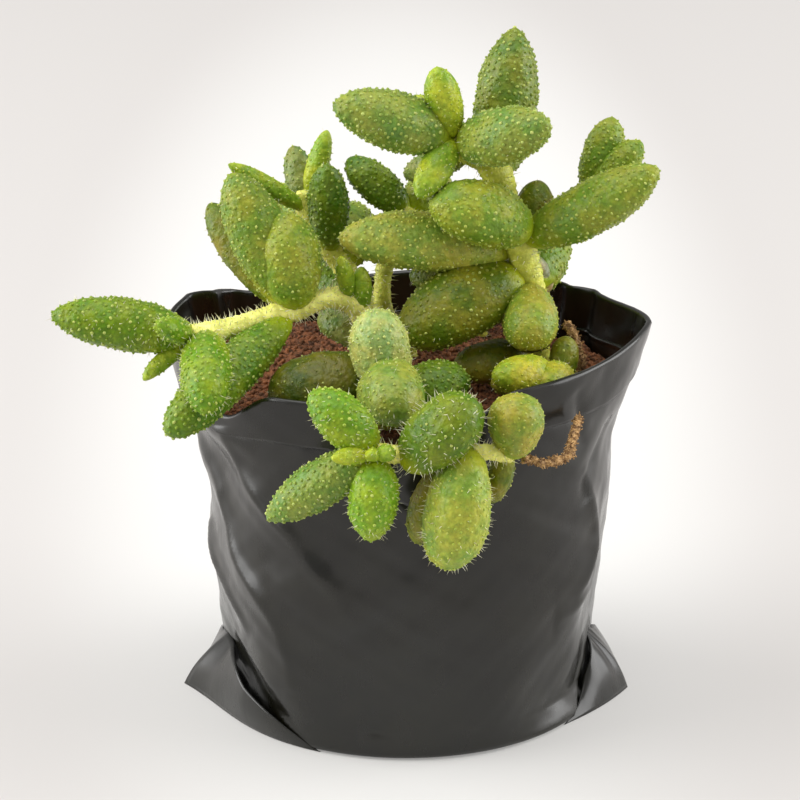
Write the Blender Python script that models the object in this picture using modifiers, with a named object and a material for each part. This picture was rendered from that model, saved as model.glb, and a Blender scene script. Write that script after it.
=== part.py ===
"""Potted pickle plant: leafy shoots with bristly, finger-shaped leaves in a black film nursery bag.

Metres, +Z up. The origin is the centre of the bag's base on the floor, +X is the plant's
right as seen from the front, and +Y is away from the front.
"""
import math

import bmesh
import bpy
from mathutils import Matrix, Vector

MM = 0.001
COLLECTION_NAME = "potted_pickle_plant"

# Bag of plastic film, in millimetres
FILM = 0.8
BAG_COLUMNS = 40
RIM_HEIGHT = 75.2
RIM_RIGHT_RISE = 2.0
HEM_HEIGHT = 9.0
HEM_GAP = 0.7
HEM_STEPS = 3
# Each level holds the height, then the reach to the left, to the right, and to front and back
BAG_LEVELS = (
    (0.0, 38.0, 39.0, 37.0),
    (4.0, 38.4, 39.8, 38.6),
    (13.0, 38.0, 39.6, 39.2),
    (22.0, 38.4, 40.2, 39.8),
    (32.0, 40.2, 42.2, 40.2),
    (43.0, 38.8, 42.4, 39.6),
    (54.0, 41.4, 42.2, 38.8),
    (62.0, 43.2, 42.4, 38.4),
    (78.0, 45.2, 44.4, 38.8),
)
UPPER_ROWS = 2
# Each corner of the rim holds its angle, its half width in degrees and how far it stands out
RIM_CORNERS = ((0.0, 28.0, 3.0), (168.0, 30.0, 2.6))
RIM_CORNER_FOOT = 55.0
RIM_CORNER_RISE = 23.0
BASE_RING = 0.55
EAR_HEIGHT = 12.5
EAR_REACH = 7.0
EAR_SPREAD = 52.0
# Each dip of the rim holds its angle, its half width in degrees and its depth, below 0 for a rise
RIM_DIPS = ((-86.0, 25.0, 12.0), (-143.0, 20.0, 6.5), (156.0, 32.0, -4.2))

# Soil, in millimetres
SOIL_CLEARANCE = 0.55
SOIL_COLUMNS = 30
SOIL_EDGE_HEIGHT = 61.5
SOIL_CROWN = 3.0
SOIL_ROUGHNESS = 0.7
SOIL_BACK_RISE = 5.5
SOIL_SLOPE = (-14.0, 10.0)
SOIL_TOP_RINGS = 4
HOLE_CLEARANCE = 0.35
HOLE_SINK = 0.6
HOLE_RISE = 2.0

# Leaves and stems, in millimetres
LEAF_SIDES = 7
LEAF_BANDS = 6
SMALL_LEAF_SIDES = 6
SMALL_LEAF_BANDS = 5
SMALL_LEAF_WIDTH = 6.5
LEAF_THICKNESS = 0.92
LEAF_WIDEST_AT = 0.56
LEAF_FOOT_FULLNESS = 0.52
LEAF_TIP_BLUNTNESS = 2.6
STEEP_LEAF = 0.85
BUMP_ROOT = 0.9
BUMP_HEIGHT = 1.6
BUMP_EVERY = 3
BUMP_LEAST_MARGIN = 0.2
STEM_SIDES_RESOLUTION = 2
BRISTLE_ROOT = 0.5
BRISTLE_LENGTH = 1.5
BRISTLE_SPACING = 3.2
BRISTLE_SINK = 0.5
GOLDEN_ANGLE = math.radians(137.5)

GREEN = (0.20, 0.34, 0.07, 1.0)
BLUE_GREEN = (0.17, 0.31, 0.10, 1.0)
OLIVE_GREEN = (0.33, 0.37, 0.10, 1.0)
FILM_BLACK = (0.035, 0.036, 0.036, 1.0)
SOIL_BROWN = (0.17, 0.07, 0.035, 1.0)
DRY_BROWN = (0.42, 0.27, 0.13, 1.0)

# Each stem is its radius and the points of its middle line. Each leaf is its foot, on a stem's
# middle line, its tip, its width and how far it arches towards its upper face.
TALL_SHOOT = {
    "stems": (
        (2.6, ((26.0, 1.0, 55.0), (26.0, 0.5, 68.0), (25.0, -1.5, 83.0), (22.6, -3.0, 96.0),
               (19.8, 0.0, 104.0), (16.8, 1.0, 111.3), (9.5, -2.0, 117.0))),
        (1.5, ((22.6, -3.0, 96.0), (28.0, 3.5, 99.5), (36.5, 6.0, 103.0))),
    ),
    "leaves": (
        ("lower_right", (23.0, -3.5, 97.0), (49.2, -9.0, 113.4), 11.4, -1.0),
        ("fork_up", (37.0, 6.0, 102.0), (41.0, 8.0, 118.6), 8.4, 0.0),
        ("fork_out", (37.0, 5.0, 102.5), (46.4, 2.5, 115.2), 7.8, 0.0),
        ("front_left", (24.5, -5.0, 99.0), (5.0, -13.0, 107.6), 13.8, 0.6),
        ("long_left", (21.0, -1.0, 93.4), (-13.0, -8.0, 98.6), 12.4, 0.8),
        ("behind_node", (24.0, -1.0, 95.5), (26.6, 4.0, 106.8), 7.6, 0.0),
        ("papery", (25.0, -1.5, 92.5), (28.2, 4.0, 83.5), 4.6, 0.5),
        ("crown_left", (8.8, -2.5, 117.0), (-14.0, -9.0, 126.2), 12.4, 0.4),
        ("crown_back", (8.6, 0.0, 117.0), (1.4, 11.0, 121.8), 5.6, 0.0),
        ("crown_young_up", (9.2, -2.5, 117.5), (6.0, -5.0, 132.6), 7.2, 0.0),
        ("crown_tall", (18.4, 1.0, 110.6), (21.6, 7.0, 137.2), 12.4, 0.0),
        ("crown_right", (10.6, -2.5, 116.6), (27.6, -15.0, 124.4), 12.2, -0.8),
        ("crown_young_down", (9.6, -3.0, 117.0), (2.6, -13.0, 108.6), 6.8, 0.6),
        ("crown_dull", (13.0, 0.0, 114.0), (0.0, 11.0, 105.6), 6.4, 0.0),
        ("rear_high", (18.0, 2.0, 108.5), (21.0, 21.0, 113.0), 9.0, 1.0),
        ("big_centre", (23.6, -3.0, 89.0), (-1.2, -11.0, 78.6), 15.4, 1.2),
        ("behind_big", (23.6, -1.0, 89.0), (0.8, 0.0, 88.2), 10.0, 0.0),
        ("round_front", (24.6, -2.0, 86.0), (24.4, -17.5, 80.0), 11.0, 0.5),
        ("round_low", (25.4, -1.0, 81.0), (24.4, -10.5, 77.0), 9.4, 0.0),
        ("rear_low", (25.0, -1.0, 86.0), (31.0, 17.0, 91.0), 9.5, 1.5),
        ("low_front", (25.8, -0.5, 71.0), (9.4, -9.0, 71.4), 9.0, 0.8),
    ),
}
RIGHT_SHOOT = {
    "stems": ((1.9, ((32.0, -12.5, 55.0), (31.8, -13.0, 66.0), (30.4, -14.0, 72.0))),),
    "leaves": (
        ("tip_up", (30.6, -14.0, 71.0), (31.8, -10.6, 79.4), 5.8, 0.0),
        ("block", (31.0, -13.6, 71.2), (26.4, -26.0, 74.0), 9.2, 0.4),
        ("olive", (30.4, -15.0, 70.6), (17.4, -27.0, 77.0), 9.6, 0.6),
        ("dull", (30.6, -14.6, 69.2), (16.8, -22.0, 73.4), 8.2, 1.0),
    ),
}
LEFT_SHOOT = {
    "stems": (
        (2.1, ((-5.5, -7.0, 55.0), (-5.5, -7.0, 68.0), (-7.0, -6.5, 78.0), (-9.5, -7.0, 84.5),
               (-14.5, -8.5, 86.6), (-22.2, -11.5, 85.2), (-32.2, -16.0, 83.6), (-41.6, -20.0, 82.2))),
    ),
    "leaves": (
        ("upright", (-21.8, -11.5, 85.2), (-34.0, -6.5, 111.6), 12.0, -0.6),
        ("beside_upright", (-21.6, -12.0, 85.0), (-23.6, -9.5, 104.8), 12.4, 0.0),
        ("behind_upright", (-22.6, -10.5, 85.4), (-38.6, 1.0, 103.0), 8.6, -0.8),
        ("over_rim", (-22.5, -12.4, 83.8), (-45.6, -35.8, 68.2), 10.2, 0.6),
        ("end_far", (-40.4, -19.5, 82.2), (-68.6, -21.0, 87.4), 10.8, 0.4),
        ("end_bud", (-41.6, -20.0, 82.4), (-47.4, -29.5, 88.6), 5.4, 0.0),
        ("end_small", (-41.2, -20.0, 82.0), (-50.8, -24.5, 75.2), 3.8, 0.6),
        ("end_oval", (-38.6, -20.0, 82.6), (-38.0, -39.0, 73.6), 10.0, 1.6),
        ("hub_tip", (-10.5, -7.0, 85.0), (-12.6, -12.0, 96.4), 3.6, 0.0),
        ("hub_young", (-8.6, -6.8, 82.5), (-8.6, -9.0, 93.2), 4.2, 0.0),
        ("hub_low", (-6.4, -6.8, 76.0), (-17.0, 1.5, 79.0), 7.6, 1.0),
    ),
}
BACK_LEFT_SHOOT = {
    "stems": (
        (1.8, ((-3.0, 10.0, 55.0), (-4.2, 9.9, 71.0), (-9.0, 8.6, 82.5), (-15.0, 8.2, 91.0),
               (-19.6, 9.2, 99.0), (-19.4, 10.0, 103.0))),
    ),
    "leaves": (
        ("dark", (-14.8, 8.0, 90.6), (-15.6, 3.4, 110.2), 8.0, 0.0),
        ("dull_blue", (-19.2, 9.2, 98.0), (-22.4, 16.0, 110.2), 6.0, 0.0),
        ("young", (-19.4, 9.6, 100.5), (-15.4, 11.0, 115.0), 4.6, 0.0),
        ("thin", (-19.4, 9.0, 99.0), (-34.8, 2.6, 110.6), 4.4, 0.0),
        ("rear_left", (-16.0, 8.6, 93.0), (-29.0, 24.0, 97.5), 9.0, 1.5),
        ("rear_right", (-12.0, 8.4, 87.0), (-10.0, 27.0, 93.0), 10.0, 1.5),
        ("rear_low", (-6.0, 9.4, 76.5), (-22.0, 25.0, 80.5), 10.5, 1.5),
    ),
}
REAR_SHOOT = {
    "stems": (
        (1.8, ((3.5, 6.0, 55.0), (0.5, 4.8, 71.0), (-4.0, 2.8, 80.0), (-4.2, 3.4, 88.0),
               (-1.8, 6.8, 94.0), (1.0, 10.0, 99.0))),
    ),
    "leaves": (
        ("dark_front", (0.6, 9.6, 98.4), (-11.5, 11.0, 109.0), 8.0, 0.0),
        ("rear_up", (1.0, 10.0, 98.6), (8.0, 26.0, 98.6), 8.6, 1.5),
        ("rear_mid", (-2.6, 5.6, 92.0), (6.5, 24.0, 88.0), 9.6, 2.0),
    ),
}
BACK_RIGHT_SHOOT = {
    "stems": ((1.8, ((14.0, 17.0, 55.0), (15.0, 17.0, 70.5), (17.0, 19.0, 75.0), (17.5, 21.0, 81.0))),),
    "leaves": (
        ("outward", (16.6, 18.6, 74.0), (33.0, 27.5, 82.0), 10.0, 1.5),
        ("backward", (17.0, 19.0, 75.5), (10.0, 36.5, 81.5), 10.0, 1.5),
        ("upward", (17.5, 20.6, 80.0), (20.5, 29.0, 96.0), 9.0, 0.8),
        ("inward", (17.4, 20.0, 79.0), (2.0, 22.5, 79.5), 7.6, 1.0),
        ("young", (17.5, 21.0, 80.5), (14.2, 22.0, 90.0), 4.4, 0.0),
    ),
}
CENTRE_SHOOT = {
    "stems": ((2.2, ((-3.0, -20.0, 55.0), (-3.0, -20.0, 66.0), (-4.0, -22.0, 73.0))),),
    "leaves": (
        ("green_up", (-4.0, -22.5, 69.0), (-5.6, -26.5, 90.2), 11.6, 0.0),
        ("brown_left", (-3.8, -21.5, 73.4), (-26.5, -24.2, 71.2), 14.2, 1.2),
        ("green_down", (-3.8, -23.0, 73.4), (-1.6, -41.0, 72.4), 12.6, 3.4),
        ("dark_right", (-2.6, -20.5, 67.8), (12.6, -20.0, 74.0), 11.8, 0.5),
    ),
}
FRONT_SHOOT = {
    "stems": (
        (1.7, ((7.0, -26.0, 55.0), (7.6, -27.0, 66.0), (8.4, -33.0, 71.0), (7.4, -40.0, 71.2),
               (4.5, -46.5, 69.0), (-1.0, -48.6, 69.2), (-5.7, -49.5, 69.7))),
        (1.6, ((4.5, -46.5, 69.0), (10.0, -47.6, 69.0), (15.5, -47.0, 69.0), (20.6, -45.4, 68.2))),
    ),
    "leaves": (
        ("up_left", (-6.0, -49.0, 69.6), (-18.2, -46.6, 80.8), 10.0, 0.6),
        ("low_left", (-5.4, -48.8, 69.2), (-26.4, -46.0, 54.8), 9.8, 0.6),
        ("low", (-5.6, -49.4, 69.4), (-6.6, -53.0, 53.2), 9.6, 0.6),
        ("bud_left", (-6.0, -49.4, 69.8), (-13.8, -55.0, 70.8), 3.8, 0.0),
        ("bud_right", (-4.6, -49.2, 69.4), (-3.0, -54.0, 71.6), 3.8, 0.0),
        ("bud_middle", (-5.4, -49.6, 69.6), (-6.8, -54.8, 71.4), 3.0, 0.0),
        ("hairy", (-0.2, -48.0, 66.2), (13.6, -50.4, 80.0), 13.0, 0.4),
        ("large_down", (12.2, -48.0, 70.6), (7.8, -51.0, 47.0), 12.6, 1.4),
        ("behind_down", (9.5, -47.2, 68.0), (2.0, -46.6, 50.2), 8.6, 0.0),
        ("round_end", (20.6, -45.4, 67.4), (21.4, -47.6, 80.6), 10.4, 0.0),
        ("small_down", (19.6, -45.6, 68.4), (16.4, -43.8, 57.4), 5.0, 0.0),
    ),
}
DRY_STEM_INSIDE = (
    (1.2, ((34.6, -6.0, 55.0), (35.0, -7.0, 66.0), (34.8, -6.8, 72.0), (33.8, -5.4, 76.5),
           (32.0, -3.4, 79.6))),
)
DRY_STEM_OUTSIDE = (
    (1.1, ((22.4, -44.7, 66.75), (27.0, -43.2, 65.4), (31.0, -40.4, 65.6), (32.2, -35.5, 67.2),
           (33.6, -28.6, 69.0))),
)
SHOOTS = {
    "tall_shoot": (TALL_SHOOT, GREEN),
    "right_shoot": (RIGHT_SHOOT, OLIVE_GREEN),
    "left_shoot": (LEFT_SHOOT, GREEN),
    "back_left_shoot": (BACK_LEFT_SHOOT, BLUE_GREEN),
    "rear_shoot": (REAR_SHOOT, BLUE_GREEN),
    "back_right_shoot": (BACK_RIGHT_SHOOT, GREEN),
    "centre_shoot": (CENTRE_SHOOT, OLIVE_GREEN),
    "front_shoot": (FRONT_SHOOT, GREEN),
}
DRY_STEMS = {"dry_stem_inside": DRY_STEM_INSIDE, "dry_stem_outside": DRY_STEM_OUTSIDE}


def clear_scene():
    for item in list(bpy.data.objects):
        bpy.data.objects.remove(item, do_unlink=True)


def new_collection(name):
    collection = bpy.data.collections.new(name)
    bpy.context.scene.collection.children.link(collection)
    return collection


def new_material(name, colour, roughness):
    material = bpy.data.materials.new(name)
    material.use_nodes = True
    shader = material.node_tree.nodes["Principled BSDF"]
    shader.inputs["Base Color"].default_value = colour
    shader.inputs["Roughness"].default_value = roughness
    shader.inputs["Metallic"].default_value = 0.0
    return material


def object_from_bmesh(mesh_data, name, collection):
    mesh = bpy.data.meshes.new(name)
    mesh_data.to_mesh(mesh)
    mesh_data.free()
    item = bpy.data.objects.new(name, mesh)
    collection.objects.link(item)
    return item


def finish(item, material, sharp_angle=40.0):
    item.data.materials.clear()
    item.data.materials.append(material)
    item.data.shade_smooth()
    item.data.set_sharp_from_angle(angle=math.radians(sharp_angle))


def bake_modifiers(item):
    """Replace the object's mesh by the one that its modifiers give."""
    bpy.context.view_layer.update()
    evaluated = item.evaluated_get(bpy.context.evaluated_depsgraph_get())
    mesh = bpy.data.meshes.new_from_object(evaluated)
    item.modifiers.clear()
    item.data = mesh


def islands_of(mesh_data):
    """The mesh's connected bodies, each as a list of its faces."""
    left = set(mesh_data.faces)
    islands = []
    while left:
        border = [left.pop()]
        island = list(border)
        while border:
            face = border.pop()
            for edge in face.edges:
                for other in edge.link_faces:
                    if other in left:
                        left.remove(other)
                        border.append(other)
                        island.append(other)
        islands.append(island)
    return islands


def signed_volume(faces):
    total = 0.0
    for face in faces:
        corners = [vertex.co for vertex in face.verts]
        for second, third in zip(corners[1:], corners[2:]):
            total += corners[0].dot(second.cross(third)) / 6.0
    return total


def blend_levels(height):
    """Reach of the bag to the left, to the right, and to front and back at a height."""
    levels = BAG_LEVELS
    height = min(max(height, levels[0][0]), levels[-1][0])
    for low, high in zip(levels, levels[1:]):
        if height <= high[0]:
            share = (height - low[0]) / (high[0] - low[0])
            return [a + (b - a) * share for a, b in zip(low[1:], high[1:])]
    return list(levels[-1][1:])


def angle_between(angle, other):
    """Difference of two angles in degrees, without its sign."""
    return abs((angle - other + 180.0) % 360.0 - 180.0)


def bump(distance, half_width):
    """A smooth rise from 0 at half_width to 1 in the middle."""
    if distance >= half_width:
        return 0.0
    return math.cos(0.5 * math.pi * distance / half_width) ** 2


def rim_height(angle):
    height = RIM_HEIGHT + RIM_RIGHT_RISE * math.cos(math.radians(angle))
    for middle, half_width, depth in RIM_DIPS:
        height -= depth * bump(angle_between(angle, middle), half_width)
    return height


def wall_point(angle, height, inset=0.0, with_ears=True):
    """A point of the bag's outer face, moved inwards by inset."""
    left, right, deep = blend_levels(height)
    turn = math.radians(angle)
    reach = right if math.cos(turn) > 0.0 else left
    for middle, half_width, out in RIM_CORNERS:
        corner = max(0.0, 1.0 - angle_between(angle, middle) / half_width)
        reach += out * corner * max(0.0, (height - RIM_CORNER_FOOT) / RIM_CORNER_RISE)
    if with_ears and height < EAR_HEIGHT:
        fade = 1.0 - height / EAR_HEIGHT
        for middle in (0.0, 180.0):
            ear = max(0.0, 1.0 - angle_between(angle, middle) / EAR_SPREAD)
            reach += EAR_REACH * fade * ear * ear
    x = reach * math.cos(turn)
    y = deep * math.sin(turn)
    normal = Vector((math.cos(turn) / reach, math.sin(turn) / deep, 0.0)).normalized()
    return Vector((x, y, height)) - normal * inset


def bag_column(angle):
    """The bag's outer face from the middle of its base to the loose edge of its hem."""
    top = rim_height(angle)
    column = [wall_point(angle, 0.0) * BASE_RING]
    lower_heights = [level[0] for level in BAG_LEVELS[:-1]]
    for height in lower_heights:
        column.append(wall_point(angle, height))
    highest = lower_heights[-1]
    for row in range(1, UPPER_ROWS + 1):
        column.append(wall_point(angle, highest + (top - highest) * row / UPPER_ROWS))
    edge = column[-1]
    outwards = (wall_point(angle, top, -1.0) - wall_point(angle, top)).normalized()
    half = HEM_GAP / 2
    for step in range(1, HEM_STEPS):
        turn = math.pi * step / HEM_STEPS
        rise = Vector((0.0, 0.0, half * math.sin(turn)))
        column.append(edge + outwards * (half - half * math.cos(turn)) + rise)
    for drop in (0.0, 0.5, 1.0):
        column.append(wall_point(angle, top - HEM_HEIGHT * drop, -HEM_GAP))
    return column


def make_bag(collection):
    """Loft the film from its base up the wall and over the hem, then give it its thickness."""
    shell = bmesh.new()
    middle = shell.verts.new((0.0, 0.0, 0.0))
    columns = []
    for index in range(BAG_COLUMNS):
        points = bag_column(360.0 * index / BAG_COLUMNS)
        columns.append([shell.verts.new(point * MM) for point in points])
    for index, column in enumerate(columns):
        following = columns[(index + 1) % BAG_COLUMNS]
        shell.faces.new((middle, following[0], column[0]))
        for row in range(len(column) - 1):
            shell.faces.new((column[row], following[row], following[row + 1], column[row + 1]))
    bag = object_from_bmesh(shell, "nursery_bag", collection)
    wall = bag.modifiers.new("film", "SOLIDIFY")
    wall.thickness = FILM * MM
    wall.offset = -1.0
    finish(bag, new_material("black_film", FILM_BLACK, 0.45))
    return bag


def soil_height(x, y, share):
    """Height of the soil's surface, where share runs from 0 in the middle to 1 at the wall."""
    rough = math.sin(0.31 * x + 0.9) * math.cos(0.27 * y) + 0.6 * math.sin(0.53 * y - 0.41 * x)
    front, back = SOIL_SLOPE
    slope = min(1.0, max(0.0, (y - front) / (back - front)))
    piled = SOIL_BACK_RISE * slope * slope * (3.0 - 2.0 * slope)
    return SOIL_EDGE_HEIGHT + piled + SOIL_CROWN * (1.0 - share * share) + SOIL_ROUGHNESS * rough


def make_soil(collection):
    """A plug of soil that fills the bag to below its rim, with a mounded top."""
    inset = FILM + SOIL_CLEARANCE
    base = FILM + SOIL_CLEARANCE
    soil = bmesh.new()
    foot = soil.verts.new(Vector((0.0, 0.0, base)) * MM)
    crown = soil.verts.new(Vector((0.0, 0.0, soil_height(0.0, 0.0, 0.0))) * MM)
    columns = []
    for index in range(SOIL_COLUMNS):
        angle = 360.0 * index / SOIL_COLUMNS
        edge = wall_point(angle, SOIL_EDGE_HEIGHT, inset, False)
        top = soil_height(edge.x, edge.y, 1.0)
        points = []
        heights = [base] + [level[0] for level in BAG_LEVELS[1:-2]] + [top]
        for height in heights:
            points.append(wall_point(angle, height, inset, False))
        for ring in range(1, SOIL_TOP_RINGS):
            share = 1.0 - ring / SOIL_TOP_RINGS
            x, y = edge.x * share, edge.y * share
            points.append(Vector((x, y, soil_height(x, y, share))))
        columns.append([soil.verts.new(point * MM) for point in points])
    for index, column in enumerate(columns):
        following = columns[(index + 1) % SOIL_COLUMNS]
        soil.faces.new((foot, following[0], column[0]))
        for row in range(len(column) - 1):
            soil.faces.new((column[row], following[row], following[row + 1], column[row + 1]))
        soil.faces.new((column[-1], following[-1], crown))
    return object_from_bmesh(soil, "potting_soil", collection)


def tube(points, radius, name, collection):
    """A round stem along the points, as one closed mesh."""
    curve = bpy.data.curves.new(name, "CURVE")
    curve.dimensions = "3D"
    curve.bevel_depth = radius * MM
    curve.bevel_resolution = STEM_SIDES_RESOLUTION
    curve.use_fill_caps = True
    spline = curve.splines.new("POLY")
    spline.points.add(len(points) - 1)
    for point, place in zip(spline.points, points):
        point.co = (*(Vector(place) * MM), 1.0)
    guide = bpy.data.objects.new(name, curve)
    collection.objects.link(guide)
    bpy.context.view_layer.update()
    mesh = bpy.data.meshes.new_from_object(guide.evaluated_get(bpy.context.evaluated_depsgraph_get()))
    welded = bmesh.new()
    welded.from_mesh(mesh)
    bmesh.ops.remove_doubles(welded, verts=welded.verts, dist=0.00001)
    if signed_volume(welded.faces) < 0.0:
        bmesh.ops.reverse_faces(welded, faces=welded.faces)
    item = object_from_bmesh(welded, name + "_mesh", collection)
    item.matrix_world = guide.matrix_world
    bpy.data.objects.remove(guide, do_unlink=True)
    return item


def leaf_profile(share):
    """Half width of a leaf, from 0 to 1, at a share of its length."""
    widest = LEAF_WIDEST_AT
    if share < widest:
        return max(0.0, 1.0 - ((widest - share) / widest) ** 2) ** LEAF_FOOT_FULLNESS
    return math.sqrt(max(0.0, 1.0 - ((share - widest) / (1.0 - widest)) ** LEAF_TIP_BLUNTNESS))


def raise_bump(leaf, face):
    """Raise a pointed bump in the middle of a face."""
    narrowest = min(edge.calc_length() for edge in face.edges)
    margin = 0.5 * (narrowest - BUMP_ROOT * MM)
    if margin < BUMP_LEAST_MARGIN * MM:
        return
    bmesh.ops.inset_individual(leaf, faces=[face], thickness=margin)
    face.normal_update()
    bmesh.ops.poke(leaf, faces=[face], offset=BUMP_HEIGHT * MM)


def make_leaf(name, foot, tip, width, arch, collection):
    """A pickle-shaped leaf: a sphere drawn out along an arch, with bumps in rows."""
    foot, tip = Vector(foot), Vector(tip)
    small = width < SMALL_LEAF_WIDTH
    sides = SMALL_LEAF_SIDES if small else LEAF_SIDES
    bands = SMALL_LEAF_BANDS if small else LEAF_BANDS
    leaf = bmesh.new()
    bmesh.ops.create_uvsphere(leaf, u_segments=sides, v_segments=bands, radius=1.0)
    bumpy = []
    for face in leaf.faces:
        middle = face.calc_center_median()
        band = int(bands * math.acos(max(-1.0, min(1.0, -middle.z / middle.length))) / math.pi)
        side = int(sides * (math.atan2(middle.y, middle.x) / math.tau + 1.0)) % sides
        if band > 0 and (side + 2 * band) % BUMP_EVERY == 0:
            bumpy.append(face)
    along = tip - foot
    direction = along.normalized()
    upwards = Vector((0.0, -1.0, 0.0)) if abs(direction.z) > STEEP_LEAF else Vector((0.0, 0.0, 1.0))
    across = upwards.cross(direction).normalized()
    upper = direction.cross(across).normalized()
    for vertex in leaf.verts:
        share = (vertex.co.z + 1.0) / 2.0
        ring = Vector((vertex.co.x, vertex.co.y, 0.0))
        ring = ring.normalized() if ring.length > 0.001 else ring
        middle = foot + along * share + upper * (4.0 * arch * share * (1.0 - share))
        lean = (along + upper * (4.0 * arch * (1.0 - 2.0 * share))).normalized()
        face_up = (upper - lean * upper.dot(lean)).normalized()
        half = 0.5 * width * leaf_profile(share)
        offset = across * (ring.x * half) + face_up * (ring.y * half * LEAF_THICKNESS)
        vertex.co = (middle + offset) * MM
    leaf.normal_update()
    for face in bumpy:
        raise_bump(leaf, face)
    return object_from_bmesh(leaf, name, collection)


def make_bristles(name, radius, points, collection):
    """Three-sided bristles round a stem, at even steps and in a spiral."""
    count = 0
    for start, end in zip(points[1:], points[2:]):
        start, end = Vector(start), Vector(end)
        along = end - start
        direction = along.normalized()
        for step in range(int(along.length / BRISTLE_SPACING)):
            place = start + direction * BRISTLE_SPACING * (step + 0.5)
            across = direction.orthogonal().normalized()
            outwards = Matrix.Rotation(GOLDEN_ANGLE * count, 3, direction) @ across
            bristle = bmesh.new()
            depth = (BRISTLE_LENGTH + radius * BRISTLE_SINK) * MM
            bmesh.ops.create_cone(bristle, segments=3, radius1=BRISTLE_ROOT * MM, radius2=0.0,
                                  depth=depth, cap_ends=True)
            turn = Vector((0.0, 0.0, 1.0)).rotation_difference(outwards).to_matrix().to_4x4()
            centre = place * MM + outwards * (radius * BRISTLE_SINK * MM + depth / 2)
            bristle.transform(Matrix.Translation(centre) @ turn)
            object_from_bmesh(bristle, f"{name}_bristle_{count}", collection)
            count += 1


def keep_main_body(item):
    """Fill sealed hollows and drop loose scraps: only the largest body stays."""
    body = bmesh.new()
    body.from_mesh(item.data)
    islands = sorted(islands_of(body), key=signed_volume)
    extra = [face for island in islands[:-1] for face in island]
    bmesh.ops.delete(body, geom=extra, context="FACES")
    body.to_mesh(item.data)
    body.free()


def join_pieces(target, pieces):
    """Fuse a collection into the target, then remove the collection with its objects."""
    union = target.modifiers.new("fuse", "BOOLEAN")
    union.operation = "UNION"
    union.operand_type = "COLLECTION"
    union.collection = pieces
    union.solver = "EXACT"
    bake_modifiers(target)
    keep_main_body(target)
    for item in list(pieces.objects):
        bpy.data.objects.remove(item, do_unlink=True)
    bpy.data.collections.remove(pieces)


def make_shoot(name, shoot, colour, collection):
    """One leafy shoot: its stems, its leaves and its bristles fused into one solid."""
    pieces = new_collection(name + "_pieces")
    stems = shoot["stems"]
    target = tube(stems[0][1], stems[0][0], name + "_stem", collection)
    target.name = name
    for index, (radius, points) in enumerate(stems[1:]):
        tube(points, radius, f"{name}_branch_{index}", pieces)
    for radius, points in stems:
        make_bristles(name, radius, points, pieces)
    for leaf_name, foot, tip, width, arch in shoot["leaves"]:
        make_leaf(f"{name}_{leaf_name}", foot, tip, width, arch, pieces)
    join_pieces(target, pieces)
    finish(target, new_material(name + "_skin", colour, 0.5))
    return target


def make_dry_stem(name, stems, collection):
    radius, points = stems[0]
    twig = tube(points, radius, name + "_twig", collection)
    twig.name = name
    finish(twig, new_material(name + "_bark", DRY_BROWN, 0.9))
    return twig


def cut_root_holes(soil, cutters):
    """A plain hole in the soil round each stem that is rooted in it."""
    rooted = [shoot["stems"][0] for shoot, colour in SHOOTS.values()]
    rooted.append(DRY_STEM_INSIDE[0])
    for index, (radius, points) in enumerate(rooted):
        low, high = Vector(points[0]), Vector(points[1])
        direction = (high - low).normalized()
        ends = (low - direction * HOLE_SINK, high + direction * HOLE_RISE)
        cutter = tube(ends, radius + HOLE_CLEARANCE, f"root_hole_{index}", cutters)
        cutter.hide_render = True
        cutter.display_type = "WIRE"
    holes = soil.modifiers.new("root_holes", "BOOLEAN")
    holes.operation = "DIFFERENCE"
    holes.operand_type = "COLLECTION"
    holes.collection = cutters


def main():
    clear_scene()
    plant = new_collection(COLLECTION_NAME)
    cutters = new_collection("cutters")
    make_bag(plant)
    soil = make_soil(plant)
    cut_root_holes(soil, cutters)
    finish(soil, new_material("red_brown_soil", SOIL_BROWN, 0.95))
    for name, (shoot, colour) in SHOOTS.items():
        make_shoot(name, shoot, colour, plant)
    for name, stems in DRY_STEMS.items():
        make_dry_stem(name, stems, plant)


main()
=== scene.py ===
"""Dresses the potted pickle plant: its film bag, soil, leafy shoots and dry stems.

Lengths in the tables below are millimetres, and angles round the bag are degrees, counted
from the plant's right (+X) through its back (+Y). Meshes are made in metres.
"""

import math

import bpy
import numpy as np
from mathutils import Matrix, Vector, noise


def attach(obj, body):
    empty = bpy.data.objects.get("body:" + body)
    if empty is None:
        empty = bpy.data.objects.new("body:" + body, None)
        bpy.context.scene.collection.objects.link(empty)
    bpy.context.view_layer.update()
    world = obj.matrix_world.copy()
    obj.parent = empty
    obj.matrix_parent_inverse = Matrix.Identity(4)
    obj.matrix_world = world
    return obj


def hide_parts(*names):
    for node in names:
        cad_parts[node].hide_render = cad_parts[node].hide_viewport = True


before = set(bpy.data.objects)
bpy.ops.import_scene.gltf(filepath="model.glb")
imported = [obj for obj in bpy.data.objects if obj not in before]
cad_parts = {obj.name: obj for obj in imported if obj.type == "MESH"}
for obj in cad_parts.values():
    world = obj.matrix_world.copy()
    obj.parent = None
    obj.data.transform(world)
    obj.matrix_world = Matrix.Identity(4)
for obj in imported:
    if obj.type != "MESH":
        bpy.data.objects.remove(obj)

bl_info = {
    "name": "Potted pickle plant",
    "version": (1, 0, 0),
    "blender": (4, 5, 0),
    "location": "3D View > Sidebar > Pickle plant",
    "description": "Makes the film bag, soil, leafy shoots and dry stems of a potted pickle plant",
    "category": "Object",
}

MM = 0.001
BODY = "root"

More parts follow.
